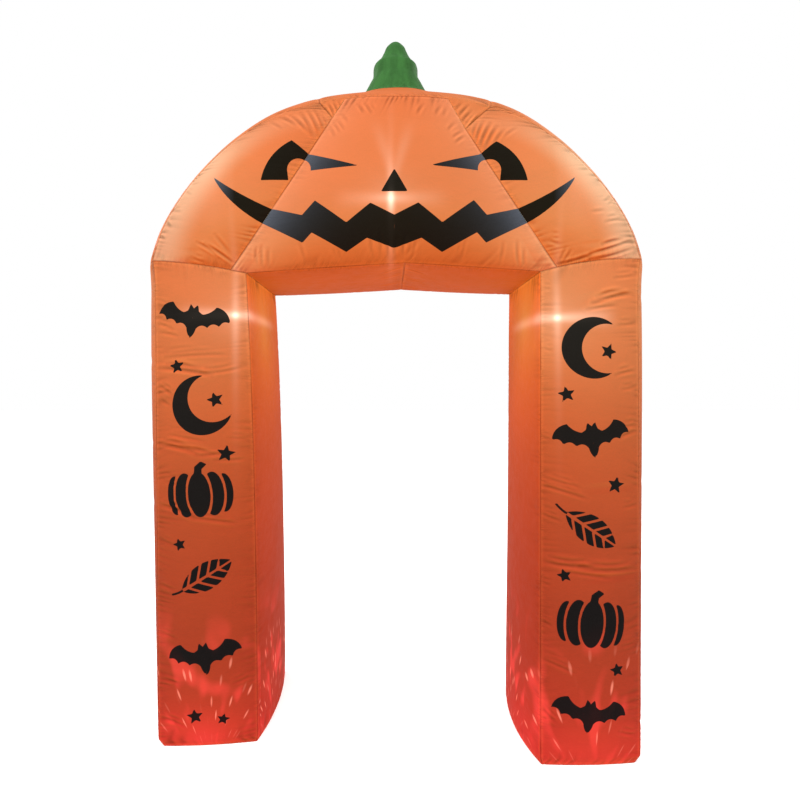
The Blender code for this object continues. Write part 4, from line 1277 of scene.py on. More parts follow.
def leg_base(leg):
    """Flat base, cut to the outline that the four panels leave on the ground."""
    shape = bmesh.new()
    layers = {n: shape.verts.layers.float.new(n) for n in LAYERS}
    along = steps(BASE_POINTS)
    loop = [foot_edge(leg, name)(t) for name in ("front", "inner") for t in along[:-1]]
    loop += [foot_edge(leg, name)(t) for name in ("back", "outer") for t in along[:0:-1]]
    made = []
    for place in loop:
        vertex = shape.verts.new((place.x, place.y, 0.0))
        vertex[layers["ink"]] = NO_PRINT
        vertex[layers["side_near"]] = vertex[layers["end_near"]] = FAR
        vertex[layers["cut_u"]], vertex[layers["cut_v"]] = place.x, place.y
        made.append(vertex)
    shape.faces.new(made)
    node = f"leg_{leg.name}_base"
    panel, area = sew(f"cloth_{node}", shape, (0, 0, -1), orange_cloth())
    low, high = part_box(node)
    flat = (high.x - low.x, high.y - low.y)
    fit(panel, node, flat, area)


# ======== the head
def gore_folds(leg, u, v):
    """Depth of the frame's folds across a side gore."""
    depth = sum(soft_fold(place, v, GORE_FOLD_HALF) for place in GORE_FOLDS[leg.name])
    return across_panel(GORE_FOLD_DEPTH * depth, u)


def gore_step(face):
    """Distance between the points of a gore: small where it is printed."""
    cloth = bpy.context.scene.arch_cloth
    return cloth.face_step if face == FRONT else cloth.plain_step


def side_gore(leg, face, seed):
    """Side gore of the face or back, from the crown seam to the gore seam."""
    ear = EARS[leg.name]
    step, outward = gore_step(face), Vector((0, face, 0))
    across, up = (shares_by(size, step) for size in SIDE_GORE_SIZE)
    spot = coons(stretch(waist_seam(leg, face), 0.0, GORE_FOOT), ear_seam(leg, face, ear.outer),
                 stretch(crown_seam(leg, face), 0.0, ear.outer), gore_seam(leg, face),
                 across, up, outward * SIDE_BOW)
    creases = creased(spot, GORE_CREASES[leg.name])
    ink = face_print(spot[..., 0], spot[..., 2]) if face == FRONT else NO_PRINT
    # Painted sheen at the mouth's horns, high on the gore, and painted pale light near its rim,
    # less high up.
    painted_sheen = ramp(np.abs(spot[..., 0] - FACE_X), *HORN_SHEEN_X) * ramp(spot[..., 2], *HORN_SHEEN_Z)
    rim = rounded(np.clip((RIM_GLOW_FROM - lengths(spot, 1)) / RIM_GLOW_FADE, 0, 1))
    rim = rim * np.interp(spot[..., 2], *RIM_GLOW_BY_HEIGHT)
    place = FACE_NAMES[face]
    sides = {"left": RIM_GATHER, "right": GORE_GATHER, "bottom": WAIST_GATHER,
             "top": GORE_GATHER}
    return one_panel(f"head_{place}_{leg.name}", spot, outward, sides, seed,
                     creases,
                     gore_folds(leg, across[None], up[:, None]), ink, painted_sheen, rim)


def centre_gore(face, seed):
    """Centre gore of the face or back, from the doorway's top edge to the crown."""
    step, outward = gore_step(face), Vector((0, face, 0))
    breaks = (0.0, GORE_CORNER, 0.5, 1.0 - GORE_CORNER, 1.0)
    bottom = chain((stretch(waist_seam(LEFT, face), GORE_FOOT, 1.0), doorway_edge(LEFT, face),
                    stretch(doorway_edge(RIGHT, face), 1.0, 0.0),
                    stretch(waist_seam(RIGHT, face), 1.0, GORE_FOOT)), breaks)
    top = chain((stretch(crown_seam(LEFT, face), EARS[LEFT.name].inner, 1.0),
                 stretch(crown_seam(RIGHT, face), 1.0, EARS[RIGHT.name].inner)),
                (0.0, 0.5, 1.0))
    across = shares_by(CENTRE_GORE_SIZE[0], step, breaks=breaks)
    up = shares_by(CENTRE_GORE_SIZE[1], step, breaks=(0.0, EAR_JOINT_SHARE, 1.0))
    spot = coons(bottom, top, gore_side(LEFT, face), gore_side(RIGHT, face), across, up,
                 outward * CENTRE_BOW)
    creases = creased(spot, CENTRE_CREASES)
    ink = face_print(spot[..., 0], spot[..., 2]) if face == FRONT else NO_PRINT
    # Painted sheen near both gore seams, half as strong on the plain back.
    run = lengths(spot, 1)
    painted_sheen = np.exp(-np.minimum(run, run[:, -1:] - run) / SHEEN_REACH)
    painted_sheen *= 1.0 if face == FRONT else BACK_SHEEN
    by_ear = ramp(up, EAR_JOINT_SHARE, EAR_JOINT_FADE)
    hidden = (by_ear * dashes(lengths(spot, 0)[:, 0]))[:, None]
    place = FACE_NAMES[face]
    sides = {"left": GORE_GATHER, "right": GORE_GATHER, "bottom": GORE_GATHER,
             "top": RIM_GATHER}
    return one_panel(f"head_{place}_centre", spot, outward, sides, seed,
                     creases,
                     ink=ink, painted_sheen=painted_sheen, hidden=hidden)


def haunch(leg, seed):
    """Haunch band over one side of the head, from the leg to the cap."""
    step = bpy.context.scene.arch_cloth.plain_step
    share = EARS[leg.name].outer
    across = shares_by(HAUNCH_SIZE[0], MIDDLE_STEP, step * HAUNCH_EDGE_COLUMNS)
    up = shares_by(HAUNCH_SIZE[1], step * HAUNCH_ROWS)
    spot = coons(band_waist(leg), cross_seam(leg), stretch(crown_seam(leg, FRONT), 0.0, share),
                 stretch(crown_seam(leg, BACK), 0.0, share), across, up)
    sides = {"left": RIM_GATHER, "right": RIM_GATHER, "bottom": CROSS_GATHER,
             "top": CROSS_GATHER}
    return one_panel(f"crown_{leg.name}", spot, Vector((leg.side, 0, 1)), sides, seed)


def ear_width(leg):
    """Share of the cap's edge that an ear takes."""
    ear = EARS[leg.name]
    return 0.5 * (ear.inner - ear.outer) / (1 - ear.outer)


def cap(seed):
    """Crown cap, drawn up round the stem, with the pointed ears that reach the gore seams."""
    step = bpy.context.scene.arch_cloth.plain_step
    widths = ear_width(LEFT), ear_width(RIGHT)
    edge = {face: chain((stretch(crown_seam(LEFT, face), EARS[LEFT.name].outer, 1.0),
                         stretch(crown_seam(RIGHT, face), 1.0, EARS[RIGHT.name].outer)),
                        (0.0, 0.5, 1.0)) for face in (FRONT, BACK)}
    across = shares_by(CAP_SIZE[0], step, breaks=(0.0, widths[0], 0.5, 1.0 - widths[1], 1.0))
    up = shares_by(CAP_SIZE[1], step)
    spot = coons(edge[FRONT], edge[BACK], cross_seam(LEFT), cross_seam(RIGHT), across, up)
    spot[..., 2] += HILL * np.exp(-(np.hypot(spot[..., 0], spot[..., 1]) / HILL_RADIUS) ** 4)
    sides = {"left": CROSS_GATHER, "right": CROSS_GATHER}
    ends = np.minimum(across, 1 - across)[None]
    shaped, cut, crease = worked(spot, Vector((0, 0, 1)), sides, seed)
    away, along = cut[2], cut[3]
    beyond = np.where(across < 0.5, *widths)[None]
    seamed = ramp(ends, beyond, CAP_FADE)
    lift = sum(gathered(away[s], along[s], RIM_GATHER, seed + 50 + k) * seamed
               for k, s in enumerate(("bottom", "top")))
    shaped = shaped - normals(spot, (0, 0, 1)) * lift[..., None]
    shape = bmesh.new()
    # The cap's painted fold shade takes in the depth of its rim gathers too.
    lay(shape, shaped, values_of(*cut[:3], ("left", "right", "bottom", "top"), NO_PRINT,
                                 crease=crease + lift))
    for leg in (LEFT, RIGHT):
        for face in (FRONT, BACK):
            ear_into(shape, leg, face, step, across, seed)
    bmesh.ops.remove_doubles(shape, verts=shape.verts, dist=MERGE)
    bmesh.ops.recalc_face_normals(shape, faces=shape.faces)
    panel, area = sew("cloth_crown_cap", shape, (0, 0, 1), orange_cloth())
    flat = (float(cut[0][:, -1].max()) * CAP_SLACK, float(cut[1][-1].max()) + CAP_EARS)
    fit(panel, "crown_cap", flat, area)
    return panel


def ear_into(shape, leg, face, step, cap_across, seed):
    """Add one pointed ear to the cap, its top row on the cap's own edge points."""
    ear, width = EARS[leg.name], ear_width(leg)
    own = cap_across if leg is LEFT else 1 - cap_across[::-1]
    across = own[own <= width + 1e-9] / width
    outer, inner = (ear_seam(leg, face, share) for share in (ear.outer, ear.inner))
    joint = ear_joint(leg, face)
    up = shares_by((joint - outer(0.0)).length, step)
    spot = coons(stretch(crown_seam(leg, face), ear.outer, ear.inner), lambda _: joint,
                 outer, inner, across, up)
    if leg.side * face > 0:
        spot = spot[:, ::-1]
    across_run, up_run, away, along = cut_of(spot)
    inside = np.minimum(away["left"], away["right"])
    crease = gathered(inside, along["left"], EAR_GATHER, seed + 70 + leg.side + face)
    crease = EAR_GATHER_SHARE * crease + creased(spot, EAR_CREASES)
    shown = away["left"] if leg.side * face < 0 else away["right"]
    other = away["right"] if leg.side * face < 0 else away["left"]
    nearest = np.minimum(shown, other + dashes(up_run))
    lift = SWELL * EAR_SWELL * eased(np.minimum(inside, away["bottom"]), CREASE_EASE) - crease
    lift *= eased(away["bottom"], EDGE_EASE)
    shaped = spot + normals(spot, (0, face, 0)) * lift[..., None]
    known = {"ink": NO_PRINT, "painted_sheen": 0.0, "rim": 0.0, "cut_u": across_run, "cut_v": up_run,
             "crease": fold_shade(spot, (0, face, 0), crease), "side_near": nearest,
             "end_near": FAR}
    lay(shape, shaped[::-1], {name: value[::-1] if isinstance(value, np.ndarray) else value
                              for name, value in known.items()})


def soffit(leg, seed):
    """Half of the doorway's top, from a leg to the middle seam."""
    step = bpy.context.scene.arch_cloth.plain_step
    middle = bowed(doorway_edge(leg, FRONT)(1.0), doorway_edge(leg, BACK)(1.0))
    across, up = (shares_by(size, step) for size in SOFFIT_SIZE)
    spot = coons(doorway_edge(leg, FRONT), doorway_edge(leg, BACK), doorway_corner(leg),
                 middle, across, up, (0, 0, -SOFFIT_BOW))
    creases = creased(spot, SOFFIT_CREASES, 1)
    sides = {"left": INNER_GATHER, "right": WAIST_GATHER, "bottom": GORE_GATHER,
             "top": GORE_GATHER}
    return one_panel(f"soffit_{leg.name}", spot, Vector((0, 0, -1)), sides, seed,
                     creases)


# ======== the stem
def evened(values, reach):
    """Each value as the mean of its neighbours on both sides."""
    padded = np.pad(values, reach, mode="edge")
    return np.convolve(padded, np.full(2 * reach + 1, 1 / (2 * reach + 1)), mode="valid")


def stem_halves(cap_panel, seed):
    """Two halves of the stem, seamed at the sides, standing on the cap."""
    count = bpy.context.scene.arch_stage.stem_steps
    tree = BVHTree.FromObject(cap_panel, bpy.context.evaluated_depsgraph_get())
    rows = shares_by(STEM_LENGTH, STEM_ROW)
    profile = points_on(lambda t: Vector((*smooth_row(STEM, t), 0.0)), rows)
    even = ramp(rows, 0.0, STEM_EVEN_ENDS[0]) * ramp(1 - rows, 0.0, STEM_EVEN_ENDS[1])
    bulge = profile[:, 0] + even * (evened(profile[:, 0], STEM_EVEN_ROWS) - profile[:, 0])
    for face, start in ((FRONT, math.pi), (BACK, 0.0)):
        angles = start + math.pi * steps(count)
        foot = [tree.ray_cast(Vector((STEM[0].radius * math.cos(a), STEM[0].radius * math.sin(a),
                                      RAY_HEIGHT)), Vector((0, 0, -1)))[0].z for a in angles]
        radius, z = profile[:, 0][:, None], profile[:, 1][:, None]
        lean = np.array(foot)[None] + STEM_SEAT - STEM[0].z
        lean = lean * (1 - rows[:, None]) ** STEM_FOOT_POWER
        spot = np.stack([radius * np.cos(angles)[None], bulge[:, None] * np.sin(angles)[None],
                         z + lean], axis=2)
        across, up, away, _ = cut_of(spot)
        outward = Vector((0, face, 0))
        flute = FLUTE_DEPTH * ramp(radius, 0.0, FLUTE_RADIUS)
        flute = flute * (0.5 + 0.5 * wander(FLUTE_RATE * angles[None], seed))
        flute = flute * np.sin(math.pi * np.clip(rows, 0, 1))[:, None] ** TAPER_POWER
        lift = -flute - gathered(up, across, STEM_GATHER, seed + 3)
        lift -= STEM_SIDE_SHARE * sum(gathered(away[s], up, STEM_GATHER, seed + 5)
                                      for s in ("left", "right"))
        lift *= eased(np.minimum(away["left"], away["right"]), EDGE_EASE)
        lift *= ramp(away["top"], 0.0, STEM_TIP_EASE) * ramp(up, 0.0, EDGE_EASE)
        shape = bmesh.new()
        shaped = spot + normals(spot, outward) * lift[..., None]
        lay(shape, shaped, values_of(across, up, away, ("left", "right", "bottom"), NO_PRINT,
                                     crease=np.maximum(-lift, 0)))
        name = f"stem_{FACE_NAMES[face]}"
        panel, area = sew(f"cloth_{name}", shape, outward, green_cloth())
        flat = (float(across[:, -1].max()), float(up[-1].max()))
        fit(panel, name, flat, area)


# ======== finishes, with their painted light and shade
def add(tree, kind, **settings):
    """A shader node with its plain settings."""
    made = tree.nodes.new(kind)
    for name, value in settings.items():
        setattr(made, name, value)
    return made


def put(tree, value, socket):
    """Link a socket to an input, or set the input to a number or colour."""
    if isinstance(value, bpy.types.NodeSocket):
        tree.links.new(value, socket)
    else:
        socket.default_value = value


def feed(tree, made, **values):
    """Link or set a shader node's inputs, by name."""
    for name, value in values.items():
        put(tree, value, made.inputs[name.replace("_", " ")])


def new_finish(name):
    """A new material, its node tree, its shader and each point's place on the object."""
    made = bpy.data.materials.new(name)
    made.use_nodes = True
    tree = made.node_tree
    place = add(tree, "ShaderNodeTexCoord").outputs["Object"]
    return made, tree, tree.nodes["Principled BSDF"], place


def maths(tree, operation, first, second=0.0, clamp=False):
    """One step of arithmetic on two values."""
    made = add(tree, "ShaderNodeMath", operation=operation, use_clamp=clamp)
    put(tree, first, made.inputs[0])
    put(tree, second, made.inputs[1])
    return made.outputs[0]


def plus(tree, first, second):
    """Sum of two values."""
    return maths(tree, "ADD", first, second)


def minus(tree, first, second):
    """Difference of two values."""
    return maths(tree, "SUBTRACT", first, second)


def times(tree, first, second):
    """Product of two values."""
    return maths(tree, "MULTIPLY", first, second)


def spread(tree, value, low, high, to_low=0.0, to_high=1.0, way="SMOOTHSTEP"):
    """A level that follows a value's place between two others."""
    made = add(tree, "ShaderNodeMapRange", interpolation_type=way)
    for number, socket in zip((value, low, high, to_low, to_high), made.inputs):
        put(tree, number, socket)
    return made.outputs["Result"]


def blend(tree, share, first, second, kind="MIX"):
    """Two colours mixed by a share."""
    made = add(tree, "ShaderNodeMix", data_type="RGBA", blend_type=kind)
    put(tree, share, made.inputs[0])
    put(tree, first, made.inputs[6])
    put(tree, second, made.inputs[7])
    return made.outputs[2]


def read(tree, name, output="Fac"):
    """A number or vector that the mesh's points carry."""
    return add(tree, "ShaderNodeAttribute", attribute_name=name).outputs[output]


def grey(tree, level):
    """A level as a grey."""
    made = add(tree, "ShaderNodeCombineColor")
    for channel in made.inputs:
        put(tree, level, channel)
    return made.outputs[0]


def noise(tree, place, scale, detail=3.0, roughness=0.55):
    """Cloudy noise over a place."""
    made = add(tree, "ShaderNodeTexNoise")
    feed(tree, made, Vector=place, Scale=scale, Detail=detail, Roughness=roughness)
    return made.outputs["Fac"]


def clouded(tree, place, scale, low=0.0, high=1.0):
    """A level that drifts between two others in clouds, so many to a metre."""
    return spread(tree, noise(tree, place, scale), 0.3, 0.7, low, high)


def scaled(tree, place, factors):
    """A place, multiplied along each axis."""
    made = add(tree, "ShaderNodeVectorMath", operation="MULTIPLY")
    put(tree, place, made.inputs[0])
    made.inputs[1].default_value = factors
    return made.outputs[0]


def light_at(tree, colour, level):
    """Coloured light at a level."""
    made = add(tree, "ShaderNodeVectorMath", operation="SCALE")
    feed(tree, made, Vector=colour, Scale=level)
    return made.outputs[0]


def plain_weave(tree, thread):
    """Height of a plain weave, over the flat cut."""
    return times(tree, *(maths(tree, "SINE", times(tree, part, math.pi / thread))
                         for part in cut_parts(tree)))


def cut_parts(tree):
    """A point's place in the flat cut: across it and up it."""
    parts = add(tree, "ShaderNodeSeparateXYZ")
    put(tree, add(tree, "ShaderNodeUVMap", uv_map="cut").outputs[0], parts.inputs[0])
    return parts.outputs[0], parts.outputs[1]


def seam_near(tree):
    """Distance from the nearest seam."""
    return maths(tree, "MINIMUM", read(tree, "side_near"), read(tree, "end_near"))


def stitch_mask(tree):
    """A row of stitches beside each seam."""
    across, up = cut_parts(tree)
    beside = maths(tree, "LESS_THAN", read(tree, "side_near"), read(tree, "end_near"))
    along = times(tree, beside, minus(tree, up, across))
    along = plus(tree, across, along)
    line = maths(tree, "ABSOLUTE", minus(tree, seam_near(tree), STITCH_LINE))
    line = spread(tree, line, *STITCH_EDGE, 1.0, 0.0)
    dash = maths(tree, "FRACT", maths(tree, "DIVIDE", along, STITCH_PITCH))
    dash = times(tree, *(spread(tree, dash, *end) for end in STITCH_ENDS))
    return times(tree, line, dash)


def wrinkle_lines(tree, along, inward, near, seed):
    """Level of the thin wrinkles that run in from two opposite seams, 0 in each of them."""
    place = add(tree, "ShaderNodeCombineXYZ")
    put(tree, maths(tree, "DIVIDE", along, WRINKLE_PITCH), place.inputs[0])
    put(tree, maths(tree, "DIVIDE", inward, WRINKLE_LENGTH), place.inputs[1])
    put(tree, seed, place.inputs[2])
    place = place.outputs[0]
    lines = minus(tree, noise(tree, place, 1.0, 2.0), 0.5)
    lines = maths(tree, "ABSOLUTE", lines)
    bundles = noise(tree, scaled(tree, place, WRINKLE_BUNDLES), 1.0, 2.0)
    strength = times(tree, spread(tree, bundles, *BUNDLE_PICK), fading(tree, near, WRINKLE_REACH))
    depth = times(tree, spread(tree, lines, 0.0, WRINKLE_EDGE, 1.0, 0.0), strength)
    return minus(tree, 1.0, depth)


def fine_wrinkles(tree):
    """Level of the thin wrinkles beside all seams: 1 on plain cloth, less in each wrinkle."""
    across, up = cut_parts(tree)
    beside = wrinkle_lines(tree, up, across, read(tree, "side_near"), WRINKLE_SEEDS[0])
    ends = wrinkle_lines(tree, across, up, read(tree, "end_near"), WRINKLE_SEEDS[1])
    return times(tree, beside, ends)


def cloth_relief(tree, place, thread, stitches, wrinkles):
    """Bump of the weave, the stitches, the thin wrinkles and the cloth's small slack."""
    slack = noise(tree, scaled(tree, place, SLACK_CLOUDS), 1.0, 4.0, 0.6)
    fine = plus(tree, plain_weave(tree, thread), times(tree, stitches, STITCH_HEIGHT))
    normal = None
    for height, (strength, distance) in zip((slack, wrinkles, fine), BUMPS):
        bump = add(tree, "ShaderNodeBump")
        feed(tree, bump, Strength=strength, Distance=distance, Height=height)
        if normal:
            tree.links.new(normal, bump.inputs["Normal"])
        normal = bump.outputs[0]
    return normal


def fading(tree, distance, reach):
    """A level that fades with distance."""
    return maths(tree, "EXPONENT", maths(tree, "DIVIDE", distance, -reach))


def square(tree, value):
    """A value times itself."""
    return times(tree, value, value)


def glint_light(tree, x, z, glint):
    """A lamp's painted bright spot through the cloth, with its soft cross."""
    off_x = maths(tree, "ABSOLUTE", minus(tree, x, glint.x))
    off_z = maths(tree, "ABSOLUTE", minus(tree, z, glint.z))
    square_x, square_z = square(tree, off_x), square(tree, off_z)
    wide = plus(tree, times(tree, off_x, GLINT_OPENS), GLINT_THIN)
    level = times(tree, fading(tree, off_x, glint.across),
                  fading(tree, square(tree, maths(tree, "DIVIDE", off_z, wide)), 1.0))
    level = times(tree, level, spread(tree, off_x, *GLINT_ENDS, glint.level, 0.0))
    upright = times(tree, fading(tree, square_x, GLINT_THIN**2),
                    fading(tree, off_z, glint.up))
    far = plus(tree, square_x, square_z)
    oval = plus(tree, square_x, maths(tree, "DIVIDE", square_z, glint.tall**2))
    heart = times(tree, fading(tree, oval, GLINT_HEART**2), HEART_LIGHT)
    halo = fading(tree, maths(tree, "SQRT", far), HALO_REACH)
    halo = times(tree, halo, HALO_LIGHT)
    cross = plus(tree, level, times(tree, upright, UPRIGHT_LIGHT))
    total = plus(tree, plus(tree, cross, halo), heart)
    return times(tree, total, glint.strength)


def beam_light(tree, x, z, beam):
    """Two painted stripes of pale light that spread upward from a lamp's bright spot."""
    up = maths(tree, "MAXIMUM", minus(tree, z, beam.z), 0.0)
    off = maths(tree, "ABSOLUTE", minus(tree, x, beam.x))
    off = minus(tree, off, times(tree, up, beam.tall))
    wide = plus(tree, times(tree, up, BEAM_OPENS), beam.across)
    stripe = fading(tree, square(tree, maths(tree, "DIVIDE", off, wide)), 1.0)
    fade = spread(tree, z, beam.z + beam.up * BEAM_FADE, beam.z + beam.up, 1.0, 0.0)
    start = spread(tree, z, beam.z - BEAM_START, beam.z + BEAM_START)
    fade = times(tree, fade, start)
    return times(tree, times(tree, stripe, fade), beam.strength)


def red_flecks(tree, x, y, z):
    """Painted flecks and soft patches of red light that the projector throws up each leg."""
    side = maths(tree, "SIGN", x)
    off_x = minus(tree, maths(tree, "ABSOLUTE", x), PROJECTOR[0])
    off_y = minus(tree, PROJECTOR[1], y)
    turn = maths(tree, "ARCTAN2", off_x, off_y)
    quarter = maths(tree, "ROUND", maths(tree, "DIVIDE", turn, math.pi / 2))
    turn = minus(tree, turn, times(tree, quarter, math.pi / 2))
    away = plus(tree, square(tree, off_x), square(tree, off_y))
    away = maths(tree, "SQRT", plus(tree, away, PROJECTOR_SPREAD**2))
    rise = maths(tree, "DIVIDE", minus(tree, z, PROJECTOR[2]), away)
    fan = maths(tree, "ARCTAN2", turn, rise)
    far = maths(tree, "SQRT", plus(tree, square(tree, turn), square(tree, rise)))
    shift = plus(tree, times(tree, quarter, SIDE_SHIFT), times(tree, side, LEG_SHIFT))
    thrown = add(tree, "ShaderNodeCombineXYZ")
    put(tree, plus(tree, fan, shift), thrown.inputs[0])
    put(tree, far, thrown.inputs[1])
    cells = add(tree, "ShaderNodeTexVoronoi", feature="F1", distance="EUCLIDEAN",
                voronoi_dimensions="2D")
    feed(tree, cells, Vector=scaled(tree, thrown.outputs[0], FLECK_CELLS), Scale=1.0)
    dot = spread(tree, cells.outputs["Distance"], *FLECK_SIZE, 1.0, 0.0)
    pick = add(tree, "ShaderNodeSeparateColor")
    put(tree, cells.outputs["Color"], pick.inputs[0])
    flecks = times(tree, dot, spread(tree, pick.outputs[0], *FLECK_PICK))
    cloud = noise(tree, scaled(tree, thrown.outputs[0], PATCH_CELLS), 1.0, 1.0)
    patches = spread(tree, cloud, *PATCH_PICK)
    for height in (FLECK_HEIGHT, FLECK_FOOT):
        flecks = times(tree, flecks, spread(tree, z, *height))
    for height in (PATCH_HEIGHT, PATCH_FOOT):
        patches = times(tree, patches, spread(tree, z, *height))
    return flecks, patches


def orange_cloth():
    """Orange coated polyester, printed in black, with the lamps' light from inside painted on it
    and painted shade and sheen.
    """
    made = bpy.data.materials.get("arch_orange_cloth")
    if made:
        return made
    cloth = bpy.context.scene.arch_cloth
    made, tree, shader, place = new_finish("arch_orange_cloth")
    parts = add(tree, "ShaderNodeSeparateXYZ")
    put(tree, place, parts.inputs[0])
    x, y, z = parts.outputs
    ink = spread(tree, read(tree, "ink"), -PRINT_EDGE, PRINT_EDGE)
    stitches = stitch_mask(tree)
    up = spread(tree, z, *FOOT_TONE)
    dyed = blend(tree, up, (*cloth.orange_foot, 1), (*cloth.orange, 1))
    mottle = noise(tree, scaled(tree, place, MOTTLE_CLOUDS), 1.0, 5.0)
    mottle = spread(tree, mottle, *MOTTLE)
    # Painted shade: the folds are painted lighter on their ridges and darker in their troughs, the
    # cloth just beside a seam gets a painted highlight, and thin wrinkles are painted darker; this
    # shade scales both the dyed colour and the lamps' painted light.
    painted_fold_shade = spread(tree, read(tree, "crease"), *CREASE_SHADES, "LINEAR")
    wrinkles = fine_wrinkles(tree)
    near = seam_near(tree)
    painted_seam_highlight = times(tree, spread(tree, near, *LIP_NEAR), spread(tree, near, *LIP_FAR, LIP_SHADE, 0.0))
    shade = times(tree, painted_fold_shade, plus(tree, painted_seam_highlight, 1.0))
    thin = times(tree, wrinkles, WRINKLE_SHADE)
    thin = plus(tree, thin, 1.0 - WRINKLE_SHADE)
    shade = times(tree, shade, thin)
    dyed = blend(tree, 1.0, dyed, grey(tree, times(tree, mottle, shade)), "MULTIPLY")
    seam = spread(tree, near, 0.0, SEAM_WIDTH, SEAM_DEPTH, 0.0)
    seam = times(tree, seam, spread(tree, noise(tree, place, 6.0, 1.0), *SEAM_CLOUDS))
    dyed = blend(tree, seam, dyed, SEAM_TINT)
    dyed = blend(tree, times(tree, stitches, STITCH_DEPTH), dyed, STITCH_TINT)
    # Painted sheen: the ink takes its sheen colour and the cloth a pale painted light, mostly near
    # the gore seams and at the mouth's horns.
    painted_sheen = read(tree, "painted_sheen")
    painted_ink_sheen = blend(tree, painted_sheen, (*cloth.ink, 1), (*cloth.ink_painted_sheen, 1))
    feed(tree, shader, Base_Color=blend(tree, ink, dyed, painted_ink_sheen),
         Roughness=clouded(tree, place, *ORANGE_ROUGHNESS), Specular_IOR_Level=0.03,
         Sheen_Weight=0.002, Sheen_Roughness=0.45, Emission_Strength=1.0,
         Normal=cloth_relief(tree, place, cloth.thread, stitches, wrinkles))
    # Painted light added to the lamps' painted glow: glints, the nose's beams, sheen, red flecks,
    # pale rim light and red patches.
    spots = 0.0
    for glint in GLINTS:
        spots = plus(tree, spots, glint_light(tree, x, z, glint))
    for depth in (GLINT_FRONT, GLINT_INSIDE):
        spots = times(tree, spots, spread(tree, y, *depth))
    beams = beam_light(tree, x, z, NOSE_BEAM)
    beams = times(tree, beams, spread(tree, y, *BEAM_FRONT))
    flecks, patches = red_flecks(tree, x, y, z)
    total = read(tree, "lamplight", "Vector")
    for level, colour in ((spots, SPOT_LIGHT), (beams, BEAM_LIGHT), (painted_sheen, SHEEN_LIGHT),
                          (flecks, FLECK_LIGHT), (read(tree, "rim"), RIM_LIGHT),
                          (patches, PATCH_LIGHT)):
        joined = add(tree, "ShaderNodeVectorMath", operation="ADD")
        put(tree, total, joined.inputs[0])
        put(tree, light_at(tree, colour, level), joined.inputs[1])
        total = joined.outputs[0]
    through = minus(tree, 1.0, times(tree, ink, INK_STOPS))
    through = times(tree, through, minus(tree, shade, seam))
    feed(tree, shader, Emission_Color=light_at(tree, total, through))
    return made


def green_cloth():
    """Green coated polyester of the stem."""
    made = bpy.data.materials.get("arch_green_cloth")
    if made:
        return made
    cloth = bpy.context.scene.arch_cloth
    made, tree, shader, place = new_finish("arch_green_cloth")
    stitches = stitch_mask(tree)
    dark = tuple(STEM_DARK * c for c in cloth.green)
    streaks = noise(tree, scaled(tree, place, STEM_STREAKS), 1.0, 4.0)
    dyed = blend(tree, spread(tree, streaks, 0.35, 0.65), (*dark, 1), (*cloth.green, 1))
    sewn = times(tree, stitches, STEM_STITCH_DEPTH)
    feed(tree, shader, Base_Color=blend(tree, sewn, dyed, STEM_STITCH_TINT),
         Roughness=clouded(tree, place, *GREEN_ROUGHNESS), Specular_IOR_Level=0.05,
         Sheen_Weight=0.01,
         Normal=cloth_relief(tree, place, cloth.thread, stitches, fine_wrinkles(tree)))
    return made


# ======== the stage
def floor_finish(colour):
    """Matt pale floor with a faint grain."""
    made, tree, shader, place = new_finish("studio_floor")
    lower = tuple(FLOOR_GRAIN * c for c in colour)
    grain = blend(tree, clouded(tree, place, 3.0), (*lower, 1), (*colour, 1))
    feed(tree, shader, Base_Color=grain, Roughness=0.85, Specular_IOR_Level=0.1,
         Emission_Color=(1, 1, 1, 1), Emission_Strength=FLOOR_LIGHT)
    return made


def soft_light(light, power):
    """A large square lamp, aimed at the arch."""
    lamp = bpy.data.lights.new(light.name, "AREA")
    lamp.shape, lamp.size, lamp.energy = "SQUARE", light.width, power * light.share
    made = bpy.data.objects.new(light.name, lamp)
    bpy.context.scene.collection.objects.link(made)
    made.location = light.place
    way = Vector(LIGHT_AIM) - Vector(light.place)
    made.rotation_euler = way.to_track_quat("-Z", "Y").to_euler()


# ======== operators
class ARCH_OT_legs(bpy.types.Operator):
    """Sew both legs: front, back, outer and inner panels and a flat base"""
    bl_idname = "arch.legs"
    bl_label = "Sew the legs"

    def execute(self, context):
        for k, leg in enumerate((LEFT, RIGHT)):
            leg_base(leg)
            for name, seeds in LEG_SEEDS.items():
                leg_panel(leg, name, seeds[k])
        return {"FINISHED"}


class ARCH_OT_face(bpy.types.Operator):
    """Sew the head's face and its plain back, three gores each"""
    bl_idname = "arch.face"
    bl_label = "Sew the face and back"

    def execute(self, context):
        for face, (left, right, centre) in GORE_SEEDS.items():
            side_gore(LEFT, face, left)
            side_gore(RIGHT, face, right)
            centre_gore(face, centre)
        return {"FINISHED"}


class ARCH_OT_crown(bpy.types.Operator):
    """Sew the haunch bands, the crown cap with its ears, and the stem on top"""
    bl_idname = "arch.crown"
    bl_label = "Sew the crown and stem"

    def execute(self, context):
        for leg, seed in zip((LEFT, RIGHT), HAUNCH_SEEDS):
            haunch(leg, seed)
        stem_halves(cap(CAP_SEED), STEM_SEED)
        return {"FINISHED"}


class ARCH_OT_doorway(bpy.types.Operator):
    """Sew the two halves of the doorway's top"""
    bl_idname = "arch.doorway"
    bl_label = "Sew the doorway's top"

    def execute(self, context):
        for leg, seed in zip((LEFT, RIGHT), SOFFIT_SEEDS):
            soffit(leg, seed)
        return {"FINISHED"}


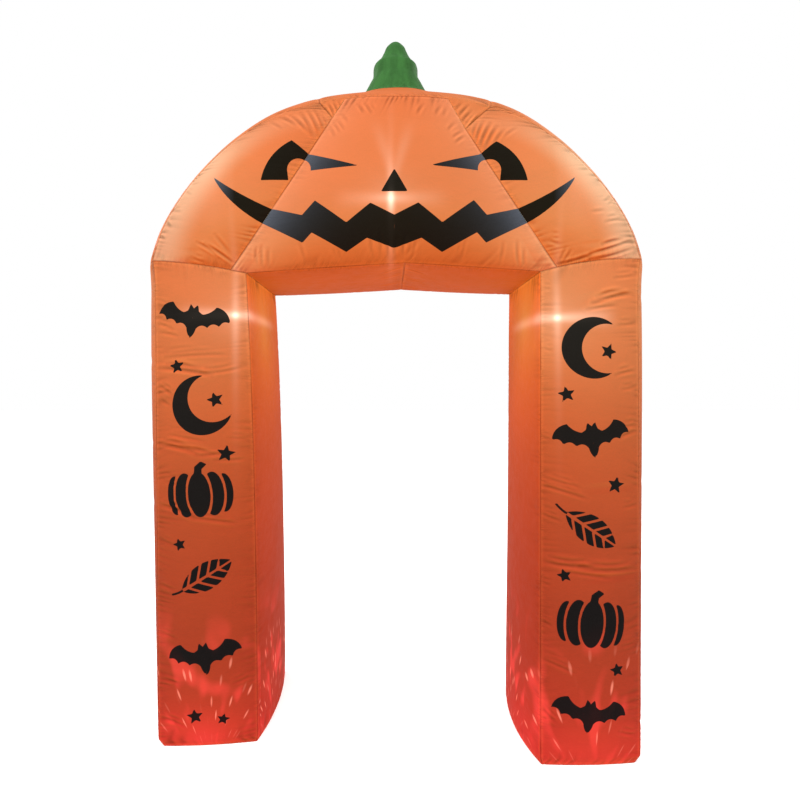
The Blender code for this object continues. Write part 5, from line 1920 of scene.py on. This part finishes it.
class ARCH_OT_stage(bpy.types.Operator):
    """Lay the floor and set the lights and the camera"""
    bl_idname = "arch.stage"
    bl_label = "Set the stage"

    def execute(self, context):
        scene = context.scene
        stage = scene.arch_stage
        half = stage.floor_size / 2
        mesh = bpy.data.meshes.new("floor")
        mesh.from_pydata([(-half, -half, 0), (half, -half, 0), (half, half, 0), (-half, half, 0)],
                         [], [(0, 1, 2, 3)])
        floor = bpy.data.objects.new("floor", mesh)
        floor.data.materials.append(floor_finish(tuple(stage.floor_colour)))
        floor.location.z = -FLOOR_DROP
        scene.collection.objects.link(floor)
        world = bpy.data.worlds.new("soft_white")
        world.use_nodes = True
        sky = world.node_tree.nodes["Background"]
        sky.inputs[0].default_value = (1, 1, 1, 1)
        sky.inputs[1].default_value = stage.sky
        scene.world = world
        for light in SOFT_LIGHTS:
            soft_light(light, getattr(stage, light.setting))
        camera = bpy.data.objects.new("camera", bpy.data.cameras.new("camera"))
        camera.data.lens, camera.data.sensor_width = LENS, SENSOR
        camera.data.shift_x, camera.data.shift_y = SHIFT
        camera.location, camera.rotation_euler = EYE_PLACE, EYE_TURN
        scene.collection.objects.link(camera)
        scene.camera = camera
        scene.view_settings.view_transform = "Standard"
        return {"FINISHED"}


class ARCH_PT_panel(bpy.types.Panel):
    """Settings and steps of the inflatable arch"""
    bl_label = "Inflatable arch"
    bl_idname = "ARCH_PT_panel"
    bl_space_type = "VIEW_3D"
    bl_region_type = "UI"
    bl_category = "Arch"

    def draw(self, context):
        for group in (context.scene.arch_cloth, context.scene.arch_stage):
            box = self.layout.box()
            for name in group.__annotations__:
                box.prop(group, name)
        for operator in OPERATORS:
            self.layout.operator(operator.bl_idname)


OPERATORS = (ARCH_OT_legs, ARCH_OT_face, ARCH_OT_crown, ARCH_OT_doorway, ARCH_OT_stage)
CLASSES = (ArchCloth, ArchStage, *OPERATORS, ARCH_PT_panel)


def register():
    for made in CLASSES:
        bpy.utils.register_class(made)
    bpy.types.Scene.arch_cloth = PointerProperty(type=ArchCloth)
    bpy.types.Scene.arch_stage = PointerProperty(type=ArchStage)


def unregister():
    del bpy.types.Scene.arch_stage
    del bpy.types.Scene.arch_cloth
    for made in reversed(CLASSES):
        bpy.utils.unregister_class(made)


def main():
    """Sew the arch and set the stage."""
    register()
    for step in (bpy.ops.arch.legs, bpy.ops.arch.face, bpy.ops.arch.crown, bpy.ops.arch.doorway,
                 bpy.ops.arch.stage):
        step()


if __name__ == "__main__":
    main()
